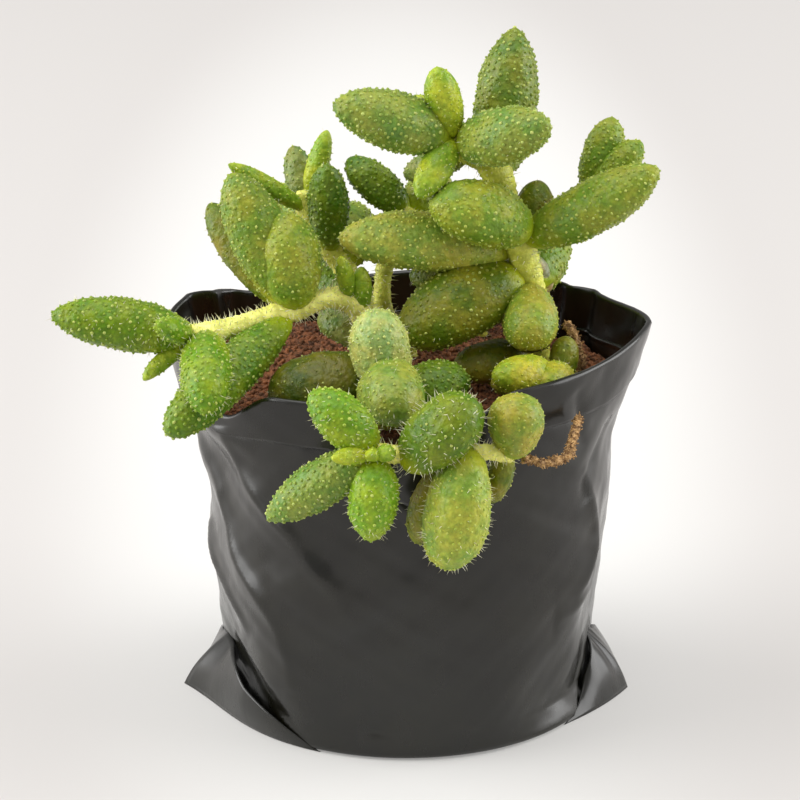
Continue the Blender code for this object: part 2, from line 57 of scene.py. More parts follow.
# Film bag. Each level holds the height, then the reach to the left, to the right, and to front and back
BAG_LEVELS = (
    (0.0, 38.0, 39.0, 37.0),
    (4.0, 38.4, 39.8, 38.6),
    (13.0, 38.0, 39.6, 39.2),
    (22.0, 38.4, 40.2, 39.8),
    (32.0, 40.2, 42.2, 40.2),
    (43.0, 38.8, 42.4, 39.6),
    (54.0, 41.4, 42.2, 38.8),
    (62.0, 43.2, 42.4, 38.4),
    (78.0, 45.2, 44.4, 38.8),
)
# The levels are averaged over this height either way
LEVEL_BLUR = 4.0
LEVEL_SAMPLES = 9
BAG_RADIUS = 41.0
DEGREE_ARC = math.radians(1.0) * BAG_RADIUS
BASE_ROUNDING = 1.4
# Rings that carry the base inwards, as shares of its reach
BASE_RINGS = (0.55, 0.93)
# Folds die away below this height
CALM_FOOT = 6.0
RIM_HEIGHT = 75.2
RIM_SLANT = 2.0
# Each rise of the rim holds its angle, its half width and its height, which is below 0 for a dip
RIM_RISES = ((-86, 25, -12.0), (-143, 20, -6.5), (0, 30, 1.2), (156, 32, 4.8), (60, 40, 0.8))
# How much the hem's lower edge makes up for the rim's rises, at the same angles
HEM_RISES = ((-143, 20, 5.6), (-100, 16, 0.8))
# Each corner of the rim holds its angle, its half width and how far it stands out
RIM_CORNERS = ((0, 30, 3.8), (33, 22, 1.0), (168, 30, 3.2), (-143, 24, 0.6))
# The corners grow from the first height, reach their full size at the second and go a little past it
CORNER_FOOT = 55.0
CORNER_TOP = 78.0
CORNER_MOST = 1.2
BAG_COLUMNS = 300
WALL_ROWS = 84
HEM_ROWS = 14
RIM_ROWS = 4
FILM_SKIN = 0.3
# The inner face is seen down to its foot. Its uppermost rows are as clean as the outer face
INNER_ROWS = 26
RIM_PLAIN_ROWS = 5
INNER_FOOT = 54.0
# Below that it lies hidden behind the soil, a little deeper inside the film's folds, with its rows closest
# together at the base
HIDDEN_ROWS = 32
HIDDEN_CROWDING = 1.5
HIDDEN_INSET = 0.7
HIDDEN_SHIFT = 1.6
HIDDEN_START = 8.0
# How far the hem stands off the wall, how much that and its edge vary, and the gap that it leaves at its edge
HEM_LIFT = 0.95
HEM_PUFF = 0.2
HEM_WAVER = 0.35
HEM_SLOT = 1.2
HEM_TUCK = 0.9
# The hem's underside, from its fold outwards: how far above the hem's edge and its share of the hem's lift
HEM_UNDERSIDE = ((HEM_SLOT, 0.3), (0.0, 0.5))
FILM_DUST = (0.057, 0.053, 0.045, 1.0)

# Each crease holds its height, its two flank widths, then its points as angle and height
CREASES = (
    (1.3, 3.0, 6.5, ((182, 57), (199, 50), (203, 45), (209, 40), (214, 36), (222, 32), (229, 26), (232, 20),
                     (234, 12))),
    (1.2, 2.2, 3.5, ((184, 38), (193, 31), (203, 27), (209, 24), (214, 20))),
    (1.8, 4.0, 7.0, ((214, 65), (217, 58), (224, 53), (230, 49), (236, 46), (242, 41), (249, 36), (256, 28))),
    (-1.0, 3.0, 2.0, ((344, 62), (332, 56), (327, 53), (328, 48))),
    (1.2, 3.0, 3.0, ((327, 56), (331, 48), (334, 41), (331, 34), (326, 28))),
    (0.9, 2.5, 3.5, ((352, 50), (339, 43), (333, 36), (330, 30))),
    (1.2, 3.0, 6.0, ((348, 34), (340, 30), (330, 27), (318, 25))),
    (-0.7, 2.0, 1.6, ((189, 14), (200, 13), (215, 10.8), (230, 6.2), (241, 0.8), (250, -4.5))),
    (0.7, 2.0, 1.6, ((195, 18), (207, 16.8), (218, 14), (229, 10.4))),
    (-1.5, 1.0, 1.4, ((358, 14.5), (352, 11.5), (346, 7.5), (341, 3.4))),
    (0.8, 1.2, 1.0, ((355, 17), (349, 13), (342, 8.5), (337, 3.6))),
    (-0.7, 2.0, 2.0, ((318, 74), (322, 66), (326, 60))),
    (1.4, 2.5, 2.5, ((33, 80), (34, 66), (30, 50))),
    (-1.4, 1.6, 1.6, ((40, 80), (41, 60))),
    (1.6, 2.0, 2.0, ((156, 80), (153, 62), (158, 45))),
    (-1.6, 1.6, 1.6, ((149, 80), (147, 62))),
    (1.2, 2.0, 2.0, ((140, 80), (141, 64), (136, 50))),
    (1.6, 5.0, 6.0, ((60, 62), (70, 48), (88, 36), (97, 20))),
    (1.3, 4.0, 6.0, ((128, 66), (120, 50), (108, 40), (104, 26))),
    (-1.0, 4.0, 4.0, ((30, 30), (48, 22), (62, 9))),
    (1.1, 4.0, 4.0, ((150, 36), (138, 26), (128, 10))),
)
CREASE_STEP = 1.5
# A crease ends at this many times its width, and its crest is rounded to this radius
CREASE_REACH = 3.0
CREASE_CREST = 0.4
CREASE_LEAST_GAP = 0.01
# Each flat facet holds the angle it faces, how far it faces up and its distance from the base's middle
FACETS = (
    (198.7, -11.0, 32.2),
    (207.0, 5.0, 43.7),
    (258.0, -5.0, 36.6),
    (322.0, -11.0, 34.9),
    (348.0, -6.0, 35.6),
    (30.0, -9.0, 34.9),
    (70.0, -5.0, 36.1),
    (115.0, 4.0, 41.4),
    (150.0, -8.0, 34.5),
)
FACET_EDGE = 1.5
FACET_JOIN = 3.0
# Facets fade out over the last stretch below their top
FACET_TOP = 64.0
FACET_FADE = 10.0
FACET_LEAST_SLANT = 0.4
FACET_SEEN_FROM = 0.3
# Each dent holds its angle and height, its half widths along the wall and upwards, and its depth
DENTS = (
    (268, 43, 20, 13, 0.9),
    (204, 47, 9, 8, 0.6),
    (300, 30, 14, 16, 0.4),
    (345, 60, 7, 5, 0.8),
    (80, 52, 18, 12, 0.8),
    (115, 22, 16, 10, 0.6),
)
# Each ripple holds its waves round the bag, its waves for each millimetre upwards, its phase and its height
RIPPLES = (
    (7, 0.05, 0.3, 0.10),
    (11, -0.09, 1.9, 0.08),
    (17, 0.13, 4.1, 0.05),
    (29, 0.21, 2.2, 0.025),
    (43, -0.18, 5.0, 0.02),
)
# A pinched ear at the foot of the bag: the angle of its ridge, which way its front lies, how far its tip
# reaches and how sharply it narrows, the angle and height where its ridge meets the wall, how far its ridge
# bulges, how far its edge stands off the wall and how little it follows the wall's folds, and for its front
# and rear ends the angle at the floor, then the angle and height at the wall
EARS = {
    "left": {"ridge": 180, "front": 1, "tip": 45.2, "sharpness": 4.5, "top": (6, 13.2), "bulge": 1.3,
             "lip": 1.0, "free": 2.0, "ends": ((63, 62, 0.5), (52, 52, 0.5))},
    "right": {"ridge": -3, "front": -1, "tip": 45.6, "sharpness": 1.3, "top": (2, 14.0), "bulge": 1.6,
              "lip": 1.7, "free": 0.3, "ends": ((30, 18, 2.6), (47, 47, 0.5))},
}
EAR_FLOOR = 0.15
EAR_COLUMNS = 34
EAR_ROWS = 14
# How the ear's upper edge falls towards its front and its rear end
EAR_CURVES = (1.6, 1.1)
# The upper edge is sunk into the wall where it is closed, which is near the ridge
EAR_SINK = 0.3
EAR_CLOSED = 0.12
EAR_LIP_CURVE = 0.8
# A soft fold runs down each side of the ear: where, how far out, and which way from the ridge
EAR_FOLD_AT = 0.22
EAR_FOLD = 0.5
EAR_FOLD_TURN = 60.0
EAR_FILM = 0.35

# Soil. It is piled up towards the back, from the first y of its slope to the second
SOIL_INSET = 1.0
SOIL_EDGE_HEIGHT = 61.5
SOIL_CROWN = 3.0
SOIL_ROUGHNESS = 0.7
SOIL_BACK_RISE = 5.5
SOIL_SLOPE = (-14.0, 10.0)
SOIL_GRIT = 0.5
SOIL_GRIT_SCALE = 0.45
SOIL_COLUMNS = 110
SOIL_RINGS = 34
# Each level of the plug's side holds its height and how far it stands inside the wall
SOIL_SIDES = ((1.5, 3.6), (20.0, 5.2), (40.0, 3.6), (57.0, 1.4))
# Size of the light and dark patches in the soil's colour, and in its crumbs'
SOIL_PATCHES = 1.6
CRUMB_PATCHES = 2.6
# Each crumb's sizes, as shares of the radius that the settings give
SMALLEST_CRUMB = (0.3, 0.3, 0.25)
LARGEST_CRUMB = (1.0, 1.0, 0.8)
CRUMB_LEAN = 0.6
CRUMB_SEED = 5

# Leaves and stems
LEAF_SEGMENTS = 34
LEAF_RINGS = 28
LEAF_THICKNESS = 0.92
LEAF_WIDEST_AT = 0.56
LEAF_FOOT_FULLNESS = 0.52
LEAF_TIP_BLUNTNESS = 2.6
# A leaf that tapers is widest nearer its foot, and its tip is sharper and has straighter sides
TAPER_SHIFT = 0.12
TAPER_SHARPNESS = 0.5
TAPER_STRAIGHTNESS = 0.2
LEAF_WAVE = 0.07
LEAF_SWELLS = 0.22
LEAF_LUMPS = 0.6
STEEP_LEAF = 0.85
TONE_RANGE = 0.16
# How the places of a leaf's foot and tip set its own lumps and tone
LEAF_SEEDS = (3.1, 1.7)
LEAF_KEEL = 0.04
STEM_SEGMENTS = 20
STEM_STEP = 0.5
STEM_RIB_PITCH = 1.5
STEM_RIB = 0.055
STEM_WAIST = 0.94
STEM_LUMPS = 0.08
STEM_TIP = 0.6
STEM_PAPILLAE = 0.25
STEM_PAPILLA_SIZE = 0.55
STEM_BRISTLE_SIZE = 0.75
SOIL_SHADE = 0.6
TUBE_LUMP_SCALE = 1.1
NODE_SWELL = 0.28
NODE_REACH = 1.6
# Stems come out of the soil above this height, and have their full colour and hair this much higher
SOIL_LINE = 58.0
STEM_EMERGES = 8.0

# Each look of a leaf holds its tint, how many papillae it bears and how big they are, how many bristles
# and how long they are, how far it blushes brown and how far it tapers to its tip, each from 0 to 1
LOOKS = {
    "mature": ((0.245, 0.315, 0.024), 0.80, 0.80, 0.20, 0.50, 0.25, 0.6),
    "long": ((0.360, 0.405, 0.054), 0.80, 0.80, 0.20, 0.50, 0.35, 0.5),
    "dark": ((0.125, 0.215, 0.010), 0.90, 0.85, 0.20, 0.50, 0.15, 0.4),
    "crown": ((0.205, 0.292, 0.038), 1.00, 0.90, 0.25, 0.50, 0.25, 0.9),
    "topmost": ((0.155, 0.220, 0.018), 1.00, 0.90, 0.25, 0.50, 0.25, 0.9),
    "shaded": ((0.148, 0.175, 0.006), 0.80, 0.80, 0.20, 0.50, 0.25, 0.6),
    "bent": ((0.160, 0.265, 0.010), 1.00, 0.90, 0.25, 0.50, 0.15, 0.0),
    "olive": ((0.170, 0.190, 0.006), 0.35, 0.70, 0.25, 0.55, 0.50, 0.4),
    "bloom": ((0.440, 0.490, 0.135), 0.60, 0.75, 0.45, 0.70, 0.25, 0.1),
    "mossy": ((0.250, 0.315, 0.040), 0.55, 0.75, 0.45, 0.70, 0.25, 0.1),
    "brownish": ((0.082, 0.098, 0.002), 0.25, 0.60, 0.20, 0.50, 0.25, 0.3),
    "ripe": ((0.370, 0.385, 0.018), 0.50, 0.55, 0.40, 0.50, 0.30, 0.6),
    "young": ((0.345, 0.430, 0.026), 0.75, 0.60, 0.60, 0.55, 0.0, 0.6),
    "bright": ((0.195, 0.310, 0.010), 0.95, 0.85, 0.65, 0.75, 0.1, 0.7),
    "far": ((0.160, 0.245, 0.005), 0.95, 0.85, 0.65, 0.75, 0.1, 0.7),
    "low": ((0.270, 0.430, 0.016), 0.85, 0.80, 0.65, 0.75, 0.1, 0.7),
    "hairy": ((0.135, 0.210, 0.006), 0.70, 0.75, 1.00, 1.00, 0.1, 0.0),
    "pale": ((0.340, 0.410, 0.045), 0.60, 0.70, 0.60, 0.80, 0.3, 0.0),
    "round": ((0.330, 0.358, 0.032), 0.75, 0.55, 0.12, 0.40, 0.6, 0.0),
    "dull": ((0.180, 0.250, 0.050), 0.70, 0.70, 0.20, 0.50, 0.4, 0.4),
    "papery": ((0.450, 0.360, 0.200), 0.10, 0.40, 0.30, 0.60, 0.8, 0.3),
}
STEM_TINT = (0.46, 0.53, 0.004)
HAIRY_STEM_TINT = (0.97, 1.0, 0.26)
BLUSH_TINT = (0.33, 0.23, 0.05)
PAPILLA_TINT = (0.64, 0.70, 0.20)
BRISTLE_TINT = (0.84, 0.84, 0.66, 1.0)
# A tuft of bristles stands at a leaf's tip. Elsewhere the edges bear more than the faces
TUFT_AT = 0.94
TUFT = 0.8
LEAF_HAIRS = 0.55
FACE_HAIRS = 0.35
EDGE_HAIRS = 0.65
# Papillae begin at the first share of a leaf's length, and stand close after the second one more
BARE_FOOT = (0.06, 0.12)
SMALLEST_AT_FOOT = 0.75
# Bristles are sparse on the first share of a leaf's length, down to the second share of their number
SPARSE_FOOT = (0.1, 0.3)

# Shares of the largest papilla's radius, and of a bristle's radius and length
SMALLEST_PAPILLA = 0.6
THINNEST_BRISTLE = 0.8
THICKEST_BRISTLE = 1.2
SHORTEST_BRISTLE = 0.4
PAPILLA_LEAN = 0.2
BRISTLE_LEAN = 0.5
BRISTLE_SEED_STEP = 40
# How many points are offered for each place, and what sets the seeds of tones and sizes apart
OFFERED_POINTS = 3.0
TONE_SEED_STEP = 31.0
SIZE_SEED_STEP = 17.0

# Each stem is its radius, its hairiness from 0 to 1 and the points of its middle line. Each leaf is its
# foot on a stem's middle line, its tip, its width, how far it arches towards its upper face, and its look
TALL_SHOOT = {
    "stems": (
        (2.6, 0.35, ((26.0, 1.0, 55.0), (26.0, 0.5, 68.0), (25.0, -1.5, 83.0), (22.6, -3.0, 96.0),
                    (19.8, 0.0, 104.0), (16.8, 1.0, 111.3), (9.5, -2.0, 117.0))),
        (1.5, 0.4, ((22.6, -3.0, 96.0), (28.0, 3.5, 99.5), (36.5, 6.0, 103.0))),
    ),
    "leaves": (
        ((23.0, -3.5, 97.0), (49.2, -9.0, 113.4), 11.4, -1.0, "mature"),
        ((37.0, 6.0, 102.0), (41.0, 8.0, 118.6), 8.4, 0.0, "mature"),
        ((37.0, 5.0, 102.5), (46.4, 2.5, 115.2), 7.8, 0.0, "mature"),
        ((24.5, -5.0, 99.0), (5.0, -13.0, 107.6), 13.8, 0.6, "mature"),
        ((21.0, -1.0, 93.4), (-13.0, -8.0, 98.6), 12.4, 0.8, "long"),
        ((24.0, -1.0, 95.5), (26.6, 4.0, 106.8), 7.6, 0.0, "olive"),
        ((25.0, -1.5, 92.5), (28.2, 4.0, 83.5), 4.6, 0.5, "papery"),
        ((8.8, -2.5, 117.0), (-14.0, -9.0, 126.2), 12.4, 0.4, "crown"),
        ((8.6, 0.0, 117.0), (1.4, 11.0, 121.8), 5.6, 0.0, "young"),
        ((9.2, -2.5, 117.5), (6.0, -5.0, 132.6), 7.2, 0.0, "young"),
        ((18.4, 1.0, 110.6), (21.6, 7.0, 137.2), 12.4, 0.0, "topmost"),
        ((10.6, -2.5, 116.6), (27.6, -15.0, 124.4), 12.2, -0.8, "crown"),
        ((9.6, -3.0, 117.0), (2.6, -13.0, 108.6), 6.8, 0.6, "young"),
        ((13.0, 0.0, 114.0), (0.0, 11.0, 105.6), 6.4, 0.0, "dull"),
        ((18.0, 2.0, 108.5), (21.0, 21.0, 113.0), 9.0, 1.0, "mature"),
        ((23.6, -3.0, 89.0), (-1.2, -11.0, 78.6), 15.4, 1.2, "shaded"),
        ((23.6, -1.0, 89.0), (0.8, 0.0, 88.2), 10.0, 0.0, "dull"),
        ((24.6, -2.0, 86.0), (24.4, -17.5, 80.0), 11.0, 0.5, "round"),
        ((25.4, -1.0, 81.0), (24.4, -10.5, 77.0), 9.4, 0.0, "olive"),
        ((25.0, -1.0, 86.0), (31.0, 17.0, 91.0), 9.5, 1.5, "mature"),
        ((25.8, -0.5, 71.0), (9.4, -9.0, 71.4), 9.0, 0.8, "olive"),
    ),
}
RIGHT_SHOOT = {
    "stems": ((1.9, 0.3, ((32.0, -12.5, 55.0), (31.8, -13.0, 66.0), (30.4, -14.0, 72.0))),),
    "leaves": (
        ((30.6, -14.0, 71.0), (31.8, -10.6, 79.4), 5.8, 0.0, "olive"),
        ((31.0, -13.6, 71.2), (26.4, -26.0, 74.0), 9.2, 0.4, "ripe"),
        ((30.4, -15.0, 70.6), (17.4, -27.0, 77.0), 9.6, 0.6, "ripe"),
        ((30.6, -14.6, 69.2), (16.8, -22.0, 73.4), 8.2, 1.0, "olive"),
    ),
}
LEFT_SHOOT = {
    "stems": (
        (2.1, 1.0, ((-5.5, -7.0, 55.0), (-5.5, -7.0, 68.0), (-7.0, -6.5, 78.0), (-9.5, -7.0, 84.5),
                    (-14.5, -8.5, 86.6), (-22.2, -11.5, 85.2), (-32.2, -16.0, 83.6), (-41.6, -20.0, 82.2))),
    ),
    "leaves": (
        ((-21.8, -11.5, 85.2), (-34.0, -6.5, 111.6), 12.0, -0.6, "mature"),
        ((-21.6, -12.0, 85.0), (-23.6, -9.5, 104.8), 12.4, 0.0, "mature"),
        ((-22.6, -10.5, 85.4), (-38.6, 1.0, 103.0), 8.6, -0.8, "olive"),
        ((-22.5, -12.4, 83.8), (-45.6, -35.8, 68.2), 10.2, 0.6, "bent"),
        ((-40.4, -19.5, 82.2), (-68.6, -21.0, 87.4), 10.8, 0.4, "far"),
        ((-41.6, -20.0, 82.4), (-47.4, -29.5, 88.6), 5.4, 0.0, "bright"),
        ((-41.2, -20.0, 82.0), (-50.8, -24.5, 75.2), 3.8, 0.6, "young"),
        ((-38.6, -20.0, 82.6), (-38.0, -39.0, 73.6), 10.0, 1.6, "bright"),
        ((-10.5, -7.0, 85.0), (-12.6, -12.0, 96.4), 3.6, 0.0, "young"),
        ((-8.6, -6.8, 82.5), (-8.6, -9.0, 93.2), 4.2, 0.0, "young"),
        ((-6.4, -6.8, 76.0), (-17.0, 1.5, 79.0), 7.6, 1.0, "dull"),
    ),
}
BACK_LEFT_SHOOT = {
    "stems": (
        (1.8, 0.6, ((-3.0, 10.0, 55.0), (-4.2, 9.9, 71.0), (-9.0, 8.6, 82.5), (-15.0, 8.2, 91.0),
                    (-19.6, 9.2, 99.0), (-19.4, 10.0, 103.0))),
    ),
    "leaves": (
        ((-14.8, 8.0, 90.6), (-15.6, 3.4, 110.2), 8.0, 0.0, "dark"),
        ((-19.2, 9.2, 98.0), (-22.4, 16.0, 110.2), 6.0, 0.0, "dull"),
        ((-19.4, 9.6, 100.5), (-15.4, 11.0, 115.0), 4.6, 0.0, "young"),
        ((-19.4, 9.0, 99.0), (-34.8, 2.6, 110.6), 4.4, 0.0, "young"),
        ((-16.0, 8.6, 93.0), (-29.0, 24.0, 97.5), 9.0, 1.5, "mature"),
        ((-12.0, 8.4, 87.0), (-10.0, 27.0, 93.0), 10.0, 1.5, "mature"),
        ((-6.0, 9.4, 76.5), (-22.0, 25.0, 80.5), 10.5, 1.5, "dark"),
    ),
}
REAR_SHOOT = {
    "stems": (
        (1.8, 0.6, ((3.5, 6.0, 55.0), (0.5, 4.8, 71.0), (-4.0, 2.8, 80.0), (-4.2, 3.4, 88.0),
                    (-1.8, 6.8, 94.0), (1.0, 10.0, 99.0))),
    ),
    "leaves": (
        ((0.6, 9.6, 98.4), (-11.5, 11.0, 109.0), 8.0, 0.0, "dark"),
        ((1.0, 10.0, 98.6), (8.0, 26.0, 98.6), 8.6, 1.5, "mature"),
        ((-2.6, 5.6, 92.0), (6.5, 24.0, 88.0), 9.6, 2.0, "dark"),
    ),
}
BACK_RIGHT_SHOOT = {
    "stems": ((1.8, 0.5, ((14.0, 17.0, 55.0), (15.0, 17.0, 70.5), (17.0, 19.0, 75.0), (17.5, 21.0, 81.0))),),
    "leaves": (
        ((16.6, 18.6, 74.0), (33.0, 27.5, 82.0), 10.0, 1.5, "mature"),
        ((17.0, 19.0, 75.5), (10.0, 36.5, 81.5), 10.0, 1.5, "bright"),
        ((17.5, 20.6, 80.0), (20.5, 29.0, 96.0), 9.0, 0.8, "mature"),
        ((17.4, 20.0, 79.0), (2.0, 22.5, 79.5), 7.6, 1.0, "dark"),
        ((17.5, 21.0, 80.5), (14.2, 22.0, 90.0), 4.4, 0.0, "young"),
    ),
}
CENTRE_SHOOT = {
    "stems": ((2.2, 0.3, ((-3.0, -20.0, 55.0), (-3.0, -20.0, 66.0), (-4.0, -22.0, 73.0))),),
    "leaves": (
        ((-4.0, -22.5, 69.0), (-5.6, -26.5, 90.2), 11.6, 0.0, "bloom"),
        ((-3.8, -21.5, 73.4), (-26.5, -24.2, 71.2), 14.2, 1.2, "brownish"),
        ((-3.8, -23.0, 73.4), (-1.6, -41.0, 72.4), 12.6, 3.4, "mossy"),
        ((-2.6, -20.5, 67.8), (12.6, -20.0, 74.0), 11.8, 0.5, "dark"),
    ),
}
FRONT_SHOOT = {
    "stems": (
        (1.7, 0.8, ((7.0, -26.0, 55.0), (7.6, -27.0, 66.0), (8.4, -33.0, 71.0), (7.4, -40.0, 71.2),
                    (4.5, -46.5, 69.0), (-1.0, -48.6, 69.2), (-5.7, -49.5, 69.7))),
        (1.6, 0.9, ((4.5, -46.5, 69.0), (10.0, -47.6, 69.0), (15.5, -47.0, 69.0), (20.6, -45.4, 68.2))),
    ),
    "leaves": (
        ((-6.0, -49.0, 69.6), (-18.2, -46.6, 80.8), 10.0, 0.6, "bright"),
        ((-5.4, -48.8, 69.2), (-26.4, -46.0, 54.8), 9.8, 0.6, "crown"),
        ((-5.6, -49.4, 69.4), (-6.6, -53.0, 53.2), 9.6, 0.6, "low"),
        ((-6.0, -49.4, 69.8), (-13.8, -55.0, 70.8), 3.8, 0.0, "young"),
        ((-4.6, -49.2, 69.4), (-3.0, -54.0, 71.6), 3.8, 0.0, "young"),
        ((-5.4, -49.6, 69.6), (-6.8, -54.8, 71.4), 3.0, 0.0, "young"),
        ((-0.2, -48.0, 66.2), (13.6, -50.4, 80.0), 13.0, 0.4, "hairy"),
        ((12.2, -48.0, 70.6), (7.8, -51.0, 47.0), 12.6, 1.4, "pale"),
        ((9.5, -47.2, 68.0), (2.0, -46.6, 50.2), 8.6, 0.0, "olive"),
        ((20.6, -45.4, 67.4), (21.4, -47.6, 80.6), 10.4, 0.0, "round"),
        ((19.6, -45.6, 68.4), (16.4, -43.8, 57.4), 5.0, 0.0, "olive"),
    ),
}
# Each shoot's layout, with the record's slot for its skin
SHOOTS = {
    "tall_shoot": (TALL_SHOOT, "leaf_green"),
    "right_shoot": (RIGHT_SHOOT, "leaf_olive"),
    "left_shoot": (LEFT_SHOOT, "leaf_green"),
    "back_left_shoot": (BACK_LEFT_SHOOT, "leaf_blue_green"),
    "rear_shoot": (REAR_SHOOT, "leaf_blue_green"),
    "back_right_shoot": (BACK_RIGHT_SHOOT, "leaf_green"),
    "centre_shoot": (CENTRE_SHOOT, "leaf_olive"),
    "front_shoot": (FRONT_SHOOT, "leaf_green"),
}
DRY_STEMS = {
    "dry_stem_inside": (1.2, ((34.6, -6.0, 55.0), (35.0, -7.0, 66.0), (34.8, -6.8, 72.0), (33.8, -5.4, 76.5),
                              (32.0, -3.4, 79.6))),
    "dry_stem_outside": (1.1, ((22.4, -44.7, 66.75), (27.0, -43.2, 65.4), (31.0, -40.4, 65.6),
                               (32.2, -35.5, 67.2), (33.6, -28.6, 69.0))),
}
DRY_TINT = (0.36, 0.22, 0.10)
# A dry stem has shrunk to this share of its radius inside its fibres
SHRINK = 0.66
TWIG_SEGMENTS = 14
TWIG_STEP = 0.4
TWIG_LUMPS = 0.55
TWIG_WAVER = 0.25
TWIG_WAVER_SCALE = 0.9
TWIG_EMERGES = 4.0
FIBRE_THINNEST = 0.1
FIBRE_WIDTH = 0.3
FIBRE_THICKNESS = 0.2
SHORTEST_FIBRE = 0.3
FIBRE_LEAN = 1.4
FIBRE_SEED = 3

# Camera and light
CAMERA_TARGET = (-1.0, 0.0, 62.0)
CAMERA_DISTANCE = 900.0
CAMERA_ELEVATION = 20.5
CAMERA_LENS = 202.5
FLOOR_RADIUS = 3.0
# The floor is painted darker away from the plant, as painted shade round a bright patch: how fast it darkens
# along x, y and z, how far back in metres the patch's middle lies, where the darkening begins and ends, and
# the darkest share of each colour
FLOOR_SPREAD = (11.0, 2.6, 1.0)
FLOOR_MIDDLE = 0.2
FLOOR_FADE = (0.5, 1.05)
FLOOR_SHADE = (0.74, 0.71, 0.705)
# The floor glows by this much in its own colour: painted light that lifts the shadows on it
FLOOR_GLOW = 0.25
SKY_COLOUR = (1.0, 0.985, 0.97, 1.0)
# Each light holds its place, its size in metres and its share of the key light's power
LIGHTS = {
    "top_light": ((-150.0, -90.0, 1300.0), 1.4, 0.88),
    "left_light": ((-1150.0, 0.0, 400.0), 1.4, 1.5),
    "right_light": ((1150.0, 60.0, 380.0), 1.3, 1.15),
}


# Nodes

def free_socket(sockets, name):
    """The socket of that name or number that the node's present mode uses."""
    if isinstance(name, int):
        return sockets[name]
    for socket in sockets:
        if socket.name == name and socket.enabled:
            return socket
    raise KeyError(name)


def add_node(tree, kind, settings=None, values=None, links=None):
    """A new node with its settings, the values of its free inputs and the sources of the others."""
    node = tree.nodes.new(kind)
    for name, value in (settings or {}).items():
        setattr(node, name, value)
    for name, value in (values or {}).items():
        free_socket(node.inputs, name).default_value = value
    for name, source in (links or {}).items():
        tree.links.new(source, free_socket(node.inputs, name))
    return node


def output(node, name=0):
    return free_socket(node.outputs, name)


def add_math(tree, operation, first, second):
    """A sum, product or other rule on two values, each a number or a node's output."""
    node = tree.nodes.new("ShaderNodeMath")
    node.operation = operation
    for socket, value in zip(node.inputs, (first, second)):
        if isinstance(value, (int, float)):
            socket.default_value = value
        else:
            tree.links.new(value, socket)
    return node.outputs[0]


def add_mix(tree, share, first, second, blend="MIX"):
    """Two colours mixed, each a tuple or a node's output, by a share that is a number or an output."""
    node = tree.nodes.new("ShaderNodeMix")
    node.data_type = "RGBA"
    node.blend_type = blend
    for name, value in (("Factor", share), ("A", first), ("B", second)):
        socket = free_socket(node.inputs, name)
        if isinstance(value, bpy.types.NodeSocket):
            tree.links.new(value, socket)
        elif isinstance(value, tuple):
            socket.default_value = (*value[:3], 1.0)
        else:
            socket.default_value = value
    return free_socket(node.outputs, "Result")


def add_range(tree, value, low, high, to_low, to_high):
    """A value carried smoothly from one range to another and kept inside it."""
    node = add_node(tree, "ShaderNodeMapRange", {"interpolation_type": "SMOOTHSTEP"}, {
        "From Min": low, "From Max": high, "To Min": to_low, "To Max": to_high}, {"Value": value})
    return node.outputs["Result"]


def new_group(name, inputs, outputs):
    """A shader node group with named sockets, its input node and its output node."""
    tree = bpy.data.node_groups.new(name, "ShaderNodeTree")
    for label, kind, default in inputs:
        socket = tree.interface.new_socket(label, in_out="INPUT", socket_type=kind)
        socket.default_value = default
    for label, kind in outputs:
        tree.interface.new_socket(label, in_out="OUTPUT", socket_type=kind)
    return tree, tree.nodes.new("NodeGroupInput"), tree.nodes.new("NodeGroupOutput")


FLOAT = "NodeSocketFloat"
COLOUR = "NodeSocketColor"
VECTOR = "NodeSocketVector"


def shared_group(name):
    """The shader group of that name, built on its first use."""
    if name not in bpy.data.node_groups:
        GROUP_BUILDERS[name]()
    return bpy.data.node_groups[name]


def build_grain_group():
    """Fine noise, stretched where asked, as a value between two limits and as a height."""
    tree, given, result = new_group("grain", (
        ("Scale", FLOAT, 1000.0), ("Detail", FLOAT, 4.0), ("Stretch", VECTOR, (1.0, 1.0, 1.0)),
        ("Low", FLOAT, 0.3), ("High", FLOAT, 0.6)), (("Value", FLOAT), ("Height", FLOAT)))
    place = add_node(tree, "ShaderNodeTexCoord")
    stretched = add_node(tree, "ShaderNodeMapping", links={
        "Vector": place.outputs["Object"], "Scale": given.outputs["Stretch"]})
    grain = add_node(tree, "ShaderNodeTexNoise", links={
        "Vector": stretched.outputs[0], "Scale": given.outputs["Scale"], "Detail": given.outputs["Detail"]})
    limits = add_node(tree, "ShaderNodeMapRange", {"interpolation_type": "LINEAR"}, {
        "From Min": 0.3, "From Max": 0.7}, {
        "Value": grain.outputs[0], "To Min": given.outputs["Low"], "To Max": given.outputs["High"]})
    tree.links.new(limits.outputs["Result"], result.inputs["Value"])
    tree.links.new(grain.outputs[0], result.inputs["Height"])


def build_mottle_group():
    """A colour with darker and lighter patches."""
    tree, given, result = new_group("mottle", (
        ("Colour", COLOUR, (0.5, 0.5, 0.5, 1.0)), ("Dark", COLOUR, (0.3, 0.3, 0.3, 1.0)),
        ("Light", COLOUR, (1.3, 1.3, 1.3, 1.0)), ("Scale", FLOAT, 300.0)),
        (("Colour", COLOUR), ("Patches", FLOAT)))
    place = add_node(tree, "ShaderNodeTexCoord")
    patches = add_node(tree, "ShaderNodeTexNoise", values={"Detail": 5.0, "Roughness": 0.6}, links={
        "Vector": place.outputs["Object"], "Scale": given.outputs["Scale"]})
    share = add_range(tree, patches.outputs[0], 0.35, 0.68, 0.0, 1.0)
    tone = add_mix(tree, share, given.outputs["Dark"], given.outputs["Light"])
    mottled = add_mix(tree, 1.0, given.outputs["Colour"], tone, "MULTIPLY")
    tree.links.new(mottled, result.inputs["Colour"])
    tree.links.new(share, result.inputs["Patches"])


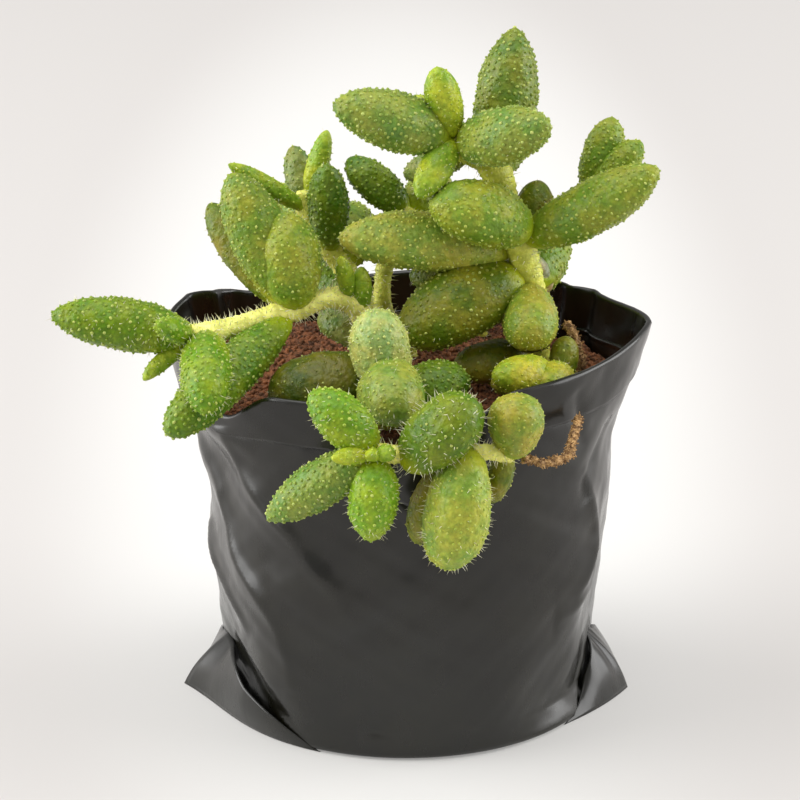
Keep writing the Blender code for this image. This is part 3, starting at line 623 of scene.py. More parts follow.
def build_cells_group():
    """The small swollen cells of a fleshy skin, as a height and as a mask of their tops."""
    tree, given, result = new_group("skin_cells", (("Scale", FLOAT, 1800.0),),
                                    (("Height", FLOAT), ("Tops", FLOAT)))
    place = add_node(tree, "ShaderNodeTexCoord")
    cells = add_node(tree, "ShaderNodeTexVoronoi", {"feature": "SMOOTH_F1"}, {"Smoothness": 0.4}, {
        "Vector": place.outputs["Object"], "Scale": given.outputs["Scale"]})
    tops = add_range(tree, cells.outputs["Distance"], 0.12, 0.5, 1.0, 0.0)
    tree.links.new(add_math(tree, "SUBTRACT", 1.0, cells.outputs["Distance"]), result.inputs["Height"])
    tree.links.new(tops, result.inputs["Tops"])


GROUP_BUILDERS = {"grain": build_grain_group, "mottle": build_mottle_group, "skin_cells": build_cells_group}


def new_material(name):
    """A material, its node tree and its Principled shader."""
    material = bpy.data.materials.new(name)
    material.use_nodes = True
    tree = material.node_tree
    return material, tree, tree.nodes["Principled BSDF"]


def use_group(tree, name, values=None, links=None):
    return add_node(tree, "ShaderNodeGroup", {"node_tree": shared_group(name)}, values, links)


def add_bump(tree, shader, height, strength, distance):
    bump = add_node(tree, "ShaderNodeBump", values={"Strength": strength, "Distance": distance * MM},
                    links={"Height": height})
    tree.links.new(bump.outputs[0], shader.inputs["Normal"])


def grey(value):
    return (value, value, value, 1.0)


def read_attribute(tree, name):
    return add_node(tree, "ShaderNodeAttribute", {"attribute_name": name})


def let_light_in(shader, weight, reach, depth):
    """Light enters the flesh by a share, with its reach in red, green and blue and its depth in mm."""
    shader.inputs["Subsurface Weight"].default_value = weight
    shader.inputs["Subsurface Radius"].default_value = reach
    shader.inputs["Subsurface Scale"].default_value = depth * MM


def film_material(colour, roughness):
    """Black polythene film: satin, with fine stretch marks, and dusty on its inner face."""
    material, tree, shader = new_material("black_film")
    grain = use_group(tree, "grain", {
        "Scale": 260.0, "Detail": 5.0, "Stretch": (1.0, 1.0, 0.35),
        "Low": roughness - 0.07, "High": roughness + 0.09})
    inside = read_attribute(tree, "inside")
    dusty = add_mix(tree, inside.outputs["Fac"], (*colour, 1.0), FILM_DUST)
    mottle = use_group(tree, "mottle", {
        "Dark": grey(0.75), "Light": grey(1.35), "Scale": 90.0}, {"Colour": dusty})
    tree.links.new(mottle.outputs["Colour"], shader.inputs["Base Color"])
    tree.links.new(grain.outputs["Value"], shader.inputs["Roughness"])
    shader.inputs["Specular IOR Level"].default_value = 0.42
    shader.inputs["Coat Weight"].default_value = 0.3
    shader.inputs["Coat Roughness"].default_value = 0.16
    add_bump(tree, shader, grain.outputs["Height"], 0.10, 0.5)
    return material


def soil_material(name, colour, patch_size):
    """Moist red-brown soil, with darker and lighter grains."""
    material, tree, shader = new_material(name)
    mottle = use_group(tree, "mottle", {
        "Colour": (*colour, 1.0), "Dark": grey(0.35), "Light": (1.5, 1.35, 1.25, 1.0),
        "Scale": 1000.0 / patch_size})
    grain = use_group(tree, "grain", {"Scale": 2200.0, "Low": 0.7, "High": 0.95})
    tree.links.new(mottle.outputs["Colour"], shader.inputs["Base Color"])
    tree.links.new(grain.outputs["Value"], shader.inputs["Roughness"])
    add_bump(tree, shader, grain.outputs["Height"], 0.8, 0.4)
    return material


def leaf_material():
    """Fleshy green skin in the leaf's own tint, yellower at its foot and browner where it blushes."""
    material, tree, shader = new_material("leaf_skin")
    tint = read_attribute(tree, "tint")
    along = read_attribute(tree, "along")
    blush = read_attribute(tree, "blush")
    mottle = use_group(tree, "mottle", {
        "Dark": (0.62, 0.84, 0.9, 1.0), "Light": (1.30, 1.14, 1.1, 1.0), "Scale": 170.0}, {
        "Colour": tint.outputs["Color"]})
    fine = use_group(tree, "mottle", {
        "Dark": (0.78, 0.80, 0.7, 1.0), "Light": (1.18, 1.16, 1.2, 1.0), "Scale": 900.0}, {
        "Colour": mottle.outputs["Colour"]})
    foot = add_range(tree, along.outputs["Fac"], 0.0, 0.22, 0.75, 0.0)
    greened = add_mix(tree, foot, fine.outputs["Colour"], STEM_TINT)
    worn = add_math(tree, "MULTIPLY", blush.outputs["Fac"], mottle.outputs["Patches"])
    browned = add_mix(tree, add_math(tree, "MULTIPLY", worn, 0.6), greened, BLUSH_TINT)
    lumps = use_group(tree, "skin_cells", {"Scale": 850.0})
    cells = use_group(tree, "skin_cells", {"Scale": 2200.0})
    fine_relief = add_math(tree, "MULTIPLY", cells.outputs["Height"], 0.3)
    relief = add_math(tree, "ADD", lumps.outputs["Height"], fine_relief)
    grain = use_group(tree, "grain", {"Scale": 700.0, "Low": 0.30, "High": 0.46})
    tree.links.new(browned, shader.inputs["Base Color"])
    tree.links.new(grain.outputs["Value"], shader.inputs["Roughness"])
    shader.inputs["Specular IOR Level"].default_value = 0.3
    let_light_in(shader, 0.15, (0.6, 1.0, 0.1), 1.0)
    add_bump(tree, shader, relief, 0.5, 0.5)
    return material


def stem_material():
    """Yellow-green stem skin with fine cells."""
    material, tree, shader = new_material("stem_skin")
    tint = read_attribute(tree, "tint")
    mottle = use_group(tree, "mottle", {
        "Dark": (0.75, 0.72, 0.6, 1.0), "Light": (1.2, 1.12, 1.2, 1.0), "Scale": 420.0}, {
        "Colour": tint.outputs["Color"]})
    cells = use_group(tree, "skin_cells", {"Scale": 2300.0})
    tree.links.new(mottle.outputs["Colour"], shader.inputs["Base Color"])
    shader.inputs["Roughness"].default_value = 0.42
    let_light_in(shader, 0.2, (0.6, 1.0, 0.2), 1.0)
    add_bump(tree, shader, cells.outputs["Height"], 0.4, 0.25)
    return material


def papilla_material():
    """Glistening papillae, paler than the leaf that bears them."""
    material, tree, shader = new_material("papilla_skin")
    tint = read_attribute(tree, "tint")
    mottle = use_group(tree, "mottle", {
        "Dark": (0.85, 0.9, 0.8, 1.0), "Light": (1.3, 1.2, 1.3, 1.0), "Scale": 380.0}, {
        "Colour": tint.outputs["Color"]})
    tone = read_attribute(tree, "tone")
    paleness = add_range(tree, tone.outputs["Fac"], 0.45, 1.0, 0.08, 0.6)
    pale = add_mix(tree, paleness, mottle.outputs["Colour"], PAPILLA_TINT)
    tree.links.new(pale, shader.inputs["Base Color"])
    shader.inputs["Roughness"].default_value = 0.32
    shader.inputs["Specular IOR Level"].default_value = 0.35
    let_light_in(shader, 0.2, (0.6, 1.0, 0.4), 0.6)
    return material


def bristle_material():
    """White to straw-coloured bristles."""
    material, tree, shader = new_material("bristle_hair")
    mottle = use_group(tree, "mottle", {
        "Colour": BRISTLE_TINT, "Dark": (0.8, 0.74, 0.6, 1.0), "Light": grey(1.1), "Scale": 300.0})
    tree.links.new(mottle.outputs["Colour"], shader.inputs["Base Color"])
    shader.inputs["Roughness"].default_value = 0.35
    return material


def dry_material():
    """Dry, fibrous bark, tan with dark cracks."""
    material, tree, shader = new_material("dry_bark")
    mottle = use_group(tree, "mottle", {
        "Colour": (*DRY_TINT, 1.0), "Dark": (0.4, 0.32, 0.26, 1.0), "Light": (1.7, 1.7, 1.5, 1.0),
        "Scale": 900.0})
    grain = use_group(tree, "grain", {"Scale": 1500.0, "Low": 0.6, "High": 0.9})
    tree.links.new(mottle.outputs["Colour"], shader.inputs["Base Color"])
    tree.links.new(grain.outputs["Value"], shader.inputs["Roughness"])
    add_bump(tree, shader, grain.outputs["Height"], 0.7, 0.4)
    return material


def shared_material(name, builder, *values):
    """The material of that name, built on its first use."""
    return bpy.data.materials.get(name) or builder(*values)


# Meshes

def mesh_object(name, points, faces, materials, slots=None, attributes=None):
    """An object from points in millimetres, smooth, with its faces' material slots and point attributes."""
    mesh = bpy.data.meshes.new(name)
    mesh.from_pydata((np.asarray(points) * MM).tolist(), [], faces)
    for material in materials:
        mesh.materials.append(material)
    if slots is not None:
        mesh.polygons.foreach_set("material_index", slots)
    for label, values in (attributes or {}).items():
        values = np.asarray(values, dtype=np.float32)
        if values.ndim == 2:
            layer = mesh.attributes.new(label, "FLOAT_COLOR", "POINT")
            layer.data.foreach_set("color", np.column_stack((values, np.ones(len(values)))).ravel())
        else:
            layer = mesh.attributes.new(label, "FLOAT", "POINT")
            layer.data.foreach_set("value", values)
    mesh.shade_smooth()
    mesh.update()
    item = bpy.data.objects.new(name, mesh)
    bpy.context.scene.collection.objects.link(item)
    return item


def ring_faces(first, second, count):
    """Quads between two closed rings whose points start at first and at second."""
    faces = []
    for index in range(count):
        after = (index + 1) % count
        faces.append((first + index, first + after, second + after, second + index))
    return faces


def fan_faces(centre, ring, count, flip=False):
    """Triangles from a centre point to a closed ring."""
    faces = []
    for index in range(count):
        triangle = (centre, ring + (index + 1) % count, ring + index)
        faces.append(triangle[::-1] if flip else triangle)
    return faces


def closed_faces(rings, count):
    """Faces of a closed form whose points are one end, then its rings of count points, then its other end."""
    faces = fan_faces(0, 1, count)
    for ring in range(rings - 1):
        start = 1 + ring * count
        faces += ring_faces(start, start + count, count)
    last = 1 + rings * count
    return faces + fan_faces(last, last - count, count, flip=True)


def baked_object(item):
    """The item with its modifiers turned into its mesh."""
    bpy.context.view_layer.update()
    evaluated = item.evaluated_get(bpy.context.evaluated_depsgraph_get())
    mesh = bpy.data.meshes.new_from_object(evaluated)
    item.modifiers.clear()
    item.data = mesh
    return item


def joined_object(name, items):
    """One object from several whose materials are the same."""
    points = []
    faces = []
    count = 0
    for item in items:
        mesh = item.data
        places = np.empty(len(mesh.vertices) * 3)
        mesh.vertices.foreach_get("co", places)
        points.append(places.reshape(-1, 3) / MM)
        faces += [tuple(count + corner for corner in face.vertices) for face in mesh.polygons]
        count += len(mesh.vertices)
    materials = list(items[0].data.materials)
    for item in items:
        bpy.data.objects.remove(item, do_unlink=True)
    return mesh_object(name, np.concatenate(points), faces, materials)


# Film bag

def turned(angle):
    """An angle brought between -180 and 180 degrees."""
    return (angle + 180.0) % 360.0 - 180.0


def rise_of(distance, half_width):
    """A smooth rise from 0 at half_width to 1 in the middle."""
    share = np.clip(np.abs(distance) / half_width, 0.0, 1.0)
    return np.cos(0.5 * math.pi * share) ** 2


def sum_of_rises(angle, rises):
    return sum(rise * rise_of(turned(angle - middle), half_width) for middle, half_width, rise in rises)


def rim_height(angle):
    return RIM_HEIGHT + RIM_SLANT * np.cos(np.radians(angle)) + sum_of_rises(angle, RIM_RISES)


def wall_reaches(height):
    """Reach of the wall to the left, to the right, and to front and back, with its kinks smoothed."""
    table = np.array(BAG_LEVELS)
    shifts = np.linspace(-LEVEL_BLUR, LEVEL_BLUR, LEVEL_SAMPLES)
    reaches = []
    for column in (1, 2, 3):
        samples = [np.interp(height + shift, table[:, 0], table[:, column]) for shift in shifts]
        reaches.append(np.mean(samples, axis=0))
    return reaches


def crease_lift(angle, height, rise, near, far, points):
    """How far one crease lifts the film, from its distance to the crease's path on the unrolled wall."""
    unrolled = [(turn * DEGREE_ARC, level, 0.0) for turn, level in points]
    path = np.array([place[:2] for place in smooth_path(unrolled, CREASE_STEP)])
    start = path[:-1, None, :]
    step = np.diff(path, axis=0)[:, None, :]
    side = turned(angle - start[..., 0] / DEGREE_ARC) * DEGREE_ARC
    up = height - start[..., 1]
    length = np.hypot(step[..., 0], step[..., 1])
    share = np.clip((side * step[..., 0] + up * step[..., 1]) / length ** 2, 0.0, 1.0)
    gap = np.hypot(side - share * step[..., 0], up - share * step[..., 1])
    nearest = np.argmin(gap, axis=0)[None]
    above = (step[..., 0] * up - step[..., 1] * side) / (length * np.maximum(gap, CREASE_LEAST_GAP))
    above = np.clip(np.take_along_axis(above, nearest, 0)[0], -1.0, 1.0)
    run = (nearest[0] + np.take_along_axis(share, nearest, 0)[0]) / len(step)
    near_gap = np.take_along_axis(gap, nearest, 0)[0]
    soft = np.sqrt(near_gap ** 2 + CREASE_CREST ** 2) - CREASE_CREST
    width = 0.5 * (near + far + (near - far) * above)
    fade = np.clip(1.0 - soft / (CREASE_REACH * width), 0.0, 1.0)
    return rise * np.sin(math.pi * run) ** 0.5 * np.exp(-soft / width) * fade


def film_lift(angle, height):
    """How far the creases, dents and ripples lift the film at each angle and height."""
    lift = np.zeros(np.shape(height))
    for crease in CREASES:
        lift += crease_lift(angle, height, *crease)
    for middle, level, half_side, half_up, depth in DENTS:
        side = turned(angle - middle) * DEGREE_ARC / half_side
        up = (height - level) / half_up
        lift -= depth * np.exp(-(side ** 2 + up ** 2))
    for waves, pitch, phase, size in RIPPLES:
        lift += size * np.sin(np.radians(angle) * waves + height * pitch * math.tau + phase)
    return lift


def facet_cut(x, y, height, away):
    """How far inwards the flat facets cut the round wall at each point."""
    total = np.zeros(np.shape(x))
    for facing, upwards, distance in FACETS:
        turn, tilt = math.radians(facing), math.radians(upwards)
        flat = (math.cos(turn) * math.cos(tilt), math.sin(turn) * math.cos(tilt))
        over = x * flat[0] + y * flat[1] + height * math.sin(tilt) - distance
        slant = away[..., 0] * flat[0] + away[..., 1] * flat[1]
        deep = 0.5 * (over + np.sqrt(over ** 2 + FACET_EDGE ** 2)) / np.maximum(slant, FACET_LEAST_SLANT)
        total += np.where(slant > FACET_SEEN_FROM, deep, 0.0) ** FACET_JOIN
    fade = np.clip((FACET_TOP - height) / FACET_FADE, 0.0, 1.0)
    return total ** (1.0 / FACET_JOIN) * fade ** 2 * (3.0 - 2.0 * fade)


def wall_points(angle, height, offset=0.0, lifted=1.0):
    """Points of the film's outer face, moved outwards by offset, with its creases."""
    left, right, deep = wall_reaches(height)
    turn = np.radians(angle)
    reach = np.where(np.cos(turn) > 0.0, right, left)
    corner_share = np.clip((height - CORNER_FOOT) / (CORNER_TOP - CORNER_FOOT), 0.0, CORNER_MOST)
    for middle, half_width, out in RIM_CORNERS:
        tent = np.clip(1.0 - np.abs(turned(angle - middle)) / half_width, 0.0, 1.0)
        reach = reach + out * tent * corner_share
    away = np.stack((np.cos(turn) / reach, np.sin(turn) / deep), axis=-1)
    away /= np.linalg.norm(away, axis=-1, keepdims=True)
    foot = np.clip(1.0 - height / BASE_ROUNDING, 0.0, 1.0)
    rounding = BASE_ROUNDING * (1.0 - np.sqrt(1.0 - foot ** 2))
    calm = np.clip(height / CALM_FOOT, 0.0, 1.0)
    x = reach * np.cos(turn)
    y = deep * np.sin(turn)
    folds = film_lift(angle, height) - facet_cut(x, y, height, away)
    out = offset - rounding + lifted * calm * folds
    x = x + away[..., 0] * out
    y = y + away[..., 1] * out
    return np.stack((x, y, np.broadcast_to(height, x.shape)), axis=-1)


def hidden_ring(angle, height, inset):
    """A ring of the film's inner face behind the soil, kept inside the grooves just above and below it."""
    shifts = (0.0, -HIDDEN_SHIFT, HIDDEN_SHIFT)
    levels = [wall_points(angle, np.full(BAG_COLUMNS, max(0.0, height + shift)), -inset) for shift in shifts]
    reaches = np.array([np.hypot(level[:, 0], level[:, 1]) for level in levels])
    drawn_in = np.min(reaches, axis=0) / reaches[0]
    return levels[0] * np.stack((drawn_in, drawn_in, np.ones(BAG_COLUMNS)), axis=-1)


def bag_rings(hem_depth):
    """The bag's closed profile as rings of points: outside, hem, rim, then the inside down to its floor."""
    angle = np.arange(BAG_COLUMNS) * 360.0 / BAG_COLUMNS
    top = rim_height(angle)
    waver = HEM_WAVER * np.sin(np.radians(angle * 5.0 + 40.0))
    fold = top - hem_depth + waver + sum_of_rises(angle, HEM_RISES)
    lift = HEM_LIFT + HEM_PUFF * np.sin(np.radians(angle * 9.0)) * np.sin(np.radians(angle * 4.0 + 70.0))
    ground = wall_points(angle, np.zeros(BAG_COLUMNS))
    rings = [ground * (share, share, 1.0) for share in BASE_RINGS]
    for share in np.linspace(0.0, 1.0, WALL_ROWS):
        height = (fold + HEM_SLOT) * share
        rings.append(wall_points(angle, height, -HEM_TUCK * np.exp(-(fold + HEM_SLOT - height) / HEM_SLOT)))
    for up, out in HEM_UNDERSIDE:
        rings.append(wall_points(angle, fold + up, lift * out))
    for share in np.linspace(0.0, 1.0, HEM_ROWS):
        rings.append(wall_points(angle, fold + (top - fold) * share, lift))
    middle = (lift - FILM_SKIN) / 2.0
    radius = (lift + FILM_SKIN) / 2.0
    for turn in np.linspace(0.0, math.pi, RIM_ROWS + 2)[1:-1]:
        over = wall_points(angle, top, middle + radius * math.cos(turn))
        over[:, 2] += radius * math.sin(turn)
        rings.append(over)
    for share in np.linspace(0.0, 1.0, INNER_ROWS):
        rings.append(wall_points(angle, top + (INNER_FOOT - top) * share, -FILM_SKIN))
    for share in np.linspace(1.0, 0.0, HIDDEN_ROWS + 1)[1:]:
        height = FILM_SKIN + (INNER_FOOT - FILM_SKIN) * share ** HIDDEN_CROWDING
        inset = FILM_SKIN + HIDDEN_INSET * min(1.0, (1.0 - share) * HIDDEN_START)
        rings.append(hidden_ring(angle, height, inset))
    rings.append(rings[-1] * (BASE_RINGS[0], BASE_RINGS[0], 1.0))
    return rings


def bag_wall(material, hem_depth):
    rings = bag_rings(hem_depth)
    points = np.concatenate([np.zeros((1, 3))] + rings + [np.array(((0.0, 0.0, FILM_SKIN),))])
    faces = closed_faces(len(rings), BAG_COLUMNS)
    inside = np.zeros(len(points))
    inside[-(INNER_ROWS - RIM_PLAIN_ROWS + HIDDEN_ROWS + 1) * BAG_COLUMNS:] = 1.0
    return mesh_object("bag_wall", points, faces, [material], attributes={"inside": inside})


def ear_column(ear, share):
    """A column of an ear's sheet, where share is -1 at the rear end, 0 at the ridge and 1 at the front."""
    half = 0 if share >= 0.0 else 1
    floor_angle, end_angle, end_height = ear["ends"][half]
    top_angle, top_height = ear["top"]
    side = ear["front"] * (1, -1)[half]
    part = abs(share)
    low_angle = ear["ridge"] + side * part * floor_angle
    high_angle = ear["ridge"] + ear["front"] * top_angle * (1.0 - part) + side * end_angle * part
    high = end_height + (top_height - end_height) * (1.0 - part ** EAR_CURVES[half])
    left, right, deep = wall_reaches(np.float64(0.0))
    reach = float(right if ear["front"] < 0 else left)
    reach += (ear["tip"] - reach) * (1.0 - part) ** ear["sharpness"] - part ** 4
    turn = math.radians(low_angle)
    low_point = np.array((reach * math.cos(turn), float(deep) * math.sin(turn), EAR_FLOOR))
    opened = max(0.0, part - EAR_CLOSED) / (1.0 - EAR_CLOSED)
    lip = ear["lip"] * math.sin(math.pi * opened ** EAR_LIP_CURVE) - EAR_SINK
    lifted = max(0.0, 1.0 - ear["free"] * part)
    high_point = wall_points(np.array([high_angle]), np.array([high]), lip, lifted)[0]
    shares = np.linspace(0.0, 1.0, EAR_ROWS)[:, None]
    column = low_point * (1.0 - shares) + high_point * shares
    fold_turn = math.radians(ear["ridge"] + side * EAR_FOLD_TURN)
    outwards = np.array((math.cos(fold_turn), math.sin(fold_turn), 0.0))
    fold = part / EAR_FOLD_AT if part < EAR_FOLD_AT else (1.0 - part) / (1.0 - EAR_FOLD_AT)
    ridge_turn = math.radians(ear["ridge"])
    bulge = np.array((math.cos(ridge_turn), math.sin(ridge_turn), 0.0)) * (ear["bulge"] * (1.0 - part) ** 3)
    return column + (outwards * (EAR_FOLD * fold) + bulge) * np.sin(math.pi * shares)


def ear_sheet(name, ear, material):
    """A pinched ear at the bag's foot: one sheet folded at its ridge, with the film's thickness."""
    columns = [ear_column(ear, share) for share in np.linspace(-1.0, 1.0, 2 * EAR_COLUMNS + 1)]
    points = np.concatenate(columns)
    faces = []
    for column in range(2 * EAR_COLUMNS):
        for row in range(EAR_ROWS - 1):
            corner = column * EAR_ROWS + row
            quad = (corner, corner + 1, corner + EAR_ROWS + 1, corner + EAR_ROWS)
            faces.append(quad if ear["front"] < 0 else quad[::-1])
    sheet = mesh_object(name, points, faces, [material])
    film = sheet.modifiers.new("film", "SOLIDIFY")
    film.thickness = EAR_FILM * MM
    film.offset = -1.0
    return baked_object(sheet)


# Soil

def soil_height(x, y, share):
    """Height of the soil's surface, where share runs from 0 in the middle to 1 at the wall."""
    rough = np.sin(0.31 * x + 0.9) * np.cos(0.27 * y) + 0.6 * np.sin(0.53 * y - 0.41 * x)
    front, back = SOIL_SLOPE
    slope = np.clip((y - front) / (back - front), 0.0, 1.0)
    piled = SOIL_BACK_RISE * slope ** 2 * (3.0 - 2.0 * slope)
    return SOIL_EDGE_HEIGHT + piled + SOIL_CROWN * (1.0 - share ** 2) + SOIL_ROUGHNESS * rough


def soil_plug(material):
    """A plug of soil with a lumpy mound on top. Its cover attribute says where crumbs lie."""
    angle = np.arange(SOIL_COLUMNS) * 360.0 / SOIL_COLUMNS
    edge = wall_points(angle, np.full(SOIL_COLUMNS, SOIL_EDGE_HEIGHT), -SOIL_INSET)
    rings = [wall_points(angle, np.full(SOIL_COLUMNS, height), -inset) for height, inset in SOIL_SIDES]
    cover = [np.zeros(SOIL_COLUMNS)] * len(rings)
    for index in range(SOIL_RINGS):
        share = 1.0 - index / SOIL_RINGS
        ring = edge * (share, share, 1.0)
        grit = [noise.fractal(Vector(point) * SOIL_GRIT_SCALE, 0.8, 2.0, 3) for point in ring]
        ring[:, 2] = soil_height(ring[:, 0], ring[:, 1], share) + SOIL_GRIT * np.array(grit)
        rings.append(ring)
        cover.append(np.ones(SOIL_COLUMNS))
    crown = np.array(((0.0, 0.0, float(soil_height(0.0, 0.0, 0.0))),))
    points = np.concatenate([np.array(((0.0, 0.0, SOIL_SIDES[0][0]),))] + rings + [crown])
    faces = closed_faces(len(rings), SOIL_COLUMNS)
    cover = np.concatenate([[0.0]] + cover + [[1.0]])
    return mesh_object("soil_mound", points, faces, [material], attributes={"cover": cover})


# Leaves and stems

def leaf_profile(share, taper):
    """Half width of a leaf, from 0 to 1, at a share of its length. Taper 0 is blunt and 1 is pointed."""
    widest = LEAF_WIDEST_AT - TAPER_SHIFT * taper
    if share < widest:
        return max(0.0, 1.0 - ((widest - share) / widest) ** 2) ** LEAF_FOOT_FULLNESS
    beyond = (share - widest) / (1.0 - widest)
    bluntness = LEAF_TIP_BLUNTNESS - TAPER_SHARPNESS * taper
    return max(0.0, 1.0 - beyond ** bluntness) ** (0.5 + TAPER_STRAIGHTNESS * taper)


def leaf_mesh(foot, tip, width, arch, look):
    """Points, faces and point attributes of one pickle-shaped leaf."""
    foot, tip = Vector(foot), Vector(tip)
    along = tip - foot
    direction = along.normalized()
    upwards = Vector((0.0, -1.0, 0.0)) if abs(direction.z) > STEEP_LEAF else Vector((0.0, 0.0, 1.0))
    across = upwards.cross(direction).normalized()
    upper = direction.cross(across).normalized()
    colour, papillae, papilla_size, bristles, bristle_size, blush, taper = LOOKS[look]
    seed = foot * LEAF_SEEDS[0] + tip * LEAF_SEEDS[1]
    tone = 1.0 + TONE_RANGE * noise.noise(seed)
    points = []
    shares = []
    edges = []
    for ring in range(LEAF_RINGS + 1):
        share = 0.5 - 0.5 * math.cos(math.pi * ring / LEAF_RINGS)
        middle = foot + along * share + upper * (4.0 * arch * share * (1.0 - share))
        lean = (along + upper * (4.0 * arch * (1.0 - 2.0 * share))).normalized()
        face_up = (upper - lean * upper.dot(lean)).normalized()
        half = 0.5 * width * leaf_profile(share, taper)
        pole = ring in (0, LEAF_RINGS)
        for segment in range(1 if pole else LEAF_SEGMENTS):
            turn = math.tau * segment / LEAF_SEGMENTS
            out = across * math.cos(turn) + face_up * (math.sin(turn) * LEAF_THICKNESS)
            skin = middle + out * half
            wave = noise.noise(skin * LEAF_SWELLS + seed) + 0.5 * noise.noise(skin * LEAF_LUMPS)
            keel = LEAF_KEEL * math.cos(3.0 * turn + 0.5 * math.pi)
            points.append(middle + out * (half * (1.0 + LEAF_WAVE * wave + keel)))
            shares.append(share)
            edges.append(abs(math.cos(turn)) ** 2)
    faces = closed_faces(LEAF_RINGS - 1, LEAF_SEGMENTS)
    shares = np.array(shares)
    edges = np.array(edges)
    bare_foot = np.clip((shares - BARE_FOOT[0]) / BARE_FOOT[1], 0.0, 1.0)
    tuft = TUFT * np.clip((shares - TUFT_AT) / (1.0 - TUFT_AT), 0.0, 1.0)
    hairy = np.clip(shares / SPARSE_FOOT[0], SPARSE_FOOT[1], 1.0)
    hairs = bristles * (FACE_HAIRS + EDGE_HAIRS * edges) * hairy
    attributes = {
        "tint": np.tile(np.array(colour) * tone, (len(points), 1)),
        "along": shares,
        "blush": np.full(len(points), blush),
        "papilla_cover": papillae * bare_foot,
        "papilla_size": papilla_size * (SMALLEST_AT_FOOT + (1.0 - SMALLEST_AT_FOOT) * bare_foot),
        "bristle_cover": LEAF_HAIRS * np.maximum(tuft, hairs),
        "bristle_size": np.full(len(points), bristle_size),
    }
    return np.array(points), faces, attributes


def smooth_path(points, step):
    """Points at about even steps along a smooth curve through the given ones."""
    knots = [Vector(point) for point in points]
    knots = [knots[0] * 2 - knots[1]] + knots + [knots[-1] * 2 - knots[-2]]
    path = []
    for before, start, end, after in zip(knots, knots[1:], knots[2:], knots[3:]):
        count = max(2, int((end - start).length / step))
        for index in range(count):
            t = index / count
            path.append(0.5 * (2.0 * start + (end - before) * t
                               + (2.0 * before - 5.0 * start + 4.0 * end - after) * t * t
                               + (3.0 * start - before - 3.0 * end + after) * t * t * t))
    path.append(knots[-2])
    return path


def tube_mesh(path, radii, segments, lumps):
    """Points and faces of a closed tube along a path, with its radius at each point."""
    across = (path[1] - path[0]).orthogonal().normalized()
    points = [path[0]]
    for index, place in enumerate(path):
        ahead = path[min(index + 1, len(path) - 1)] - path[max(index - 1, 0)]
        ahead.normalize()
        across = (across - ahead * across.dot(ahead)).normalized()
        other = ahead.cross(across)
        for segment in range(segments):
            turn = math.tau * segment / segments
            out = across * math.cos(turn) + other * math.sin(turn)
            uneven = 1.0 + lumps * noise.noise((place + out * radii[index]) * TUBE_LUMP_SCALE)
            points.append(place + out * radii[index] * uneven)
    points.append(path[-1])
    return np.array(points), closed_faces(len(path), segments)


def stem_mesh(radius, hairiness, points, feet):
    """Points, faces and attributes of a ribbed stem that swells where its leaves join it."""
    path = smooth_path(points, STEM_STEP)
    radii = []
    travelled = 0.0
    before = path[0]
    for place in path:
        travelled += (place - before).length
        before = place
        near = min((place - Vector(foot)).length for foot in feet)
        swell = NODE_SWELL * math.exp(-(near / (NODE_REACH * radius)) ** 2)
        rib = STEM_RIB * math.sin(math.tau * travelled / STEM_RIB_PITCH)
        radii.append(radius * (STEM_WAIST + swell + rib))
    radii[-1] *= STEM_TIP
    mesh_points, faces = tube_mesh(path, radii, STEM_SEGMENTS, STEM_LUMPS)
    count = len(mesh_points)
    above = np.clip((mesh_points[:, 2] - SOIL_LINE) / STEM_EMERGES, 0.0, 1.0)
    tint = np.array(STEM_TINT) * (1.0 - hairiness) + np.array(HAIRY_STEM_TINT) * hairiness
    attributes = {
        "tint": np.tile(tint, (count, 1)) * (SOIL_SHADE + (1.0 - SOIL_SHADE) * above)[:, None],
        "along": np.ones(count),
        "blush": np.zeros(count),
        "papilla_cover": np.full(count, STEM_PAPILLAE),
        "papilla_size": np.full(count, STEM_PAPILLA_SIZE),
        "bristle_cover": hairiness * above,
        "bristle_size": np.full(count, STEM_BRISTLE_SIZE + (1.0 - STEM_BRISTLE_SIZE) * hairiness),
    }
    return mesh_points, faces, attributes


def shoot_flesh(name, shoot, leaf_skin, stem_skin):
    """The stems and leaves of one shoot as one object with a slot for each skin."""
    parts = []
    feet = [leaf[0] for leaf in shoot["leaves"]]
    for radius, hairiness, points in shoot["stems"]:
        parts.append((1, *stem_mesh(radius, hairiness, points, feet)))
    for foot, tip, width, arch, look in shoot["leaves"]:
        parts.append((0, *leaf_mesh(foot, tip, width, arch, look)))
    points = np.concatenate([part[1] for part in parts])
    faces = []
    slots = []
    count = 0
    for slot, part_points, part_faces, attributes in parts:
        faces += [tuple(corner + count for corner in face) for face in part_faces]
        slots += [slot] * len(part_faces)
        count += len(part_points)
    labels = parts[0][3].keys()
    attributes = {label: np.concatenate([part[3][label] for part in parts]) for label in labels}
    return mesh_object(name + "_flesh", points, faces, [leaf_skin, stem_skin], slots, attributes)


# Scattered repeats

SHAPES = {
    "dome": ("GeometryNodeMeshIcoSphere", {}, {"Radius": 1.0, "Subdivisions": 1}),
    "spike": ("GeometryNodeMeshCone", {"fill_type": "NGON"}, {
        "Vertices": 3, "Side Segments": 1, "Radius Top": 0.0, "Radius Bottom": 1.0, "Depth": 1.0}),
    "fibre": ("GeometryNodeMeshCube", {}, {"Size": (1.0, 1.0, 1.0)}),
}
SCATTER_INPUTS = (
    ("Spacing", "NodeSocketFloat", 1.0 * MM),
    ("Smallest", "NodeSocketVector", (0.5 * MM, 0.5 * MM, 0.5 * MM)),
    ("Largest", "NodeSocketVector", (MM, MM, MM)),
    ("Lean", "NodeSocketFloat", 0.3),
    ("Seed", "NodeSocketInt", 1),
    ("Material", "NodeSocketMaterial", None),
)


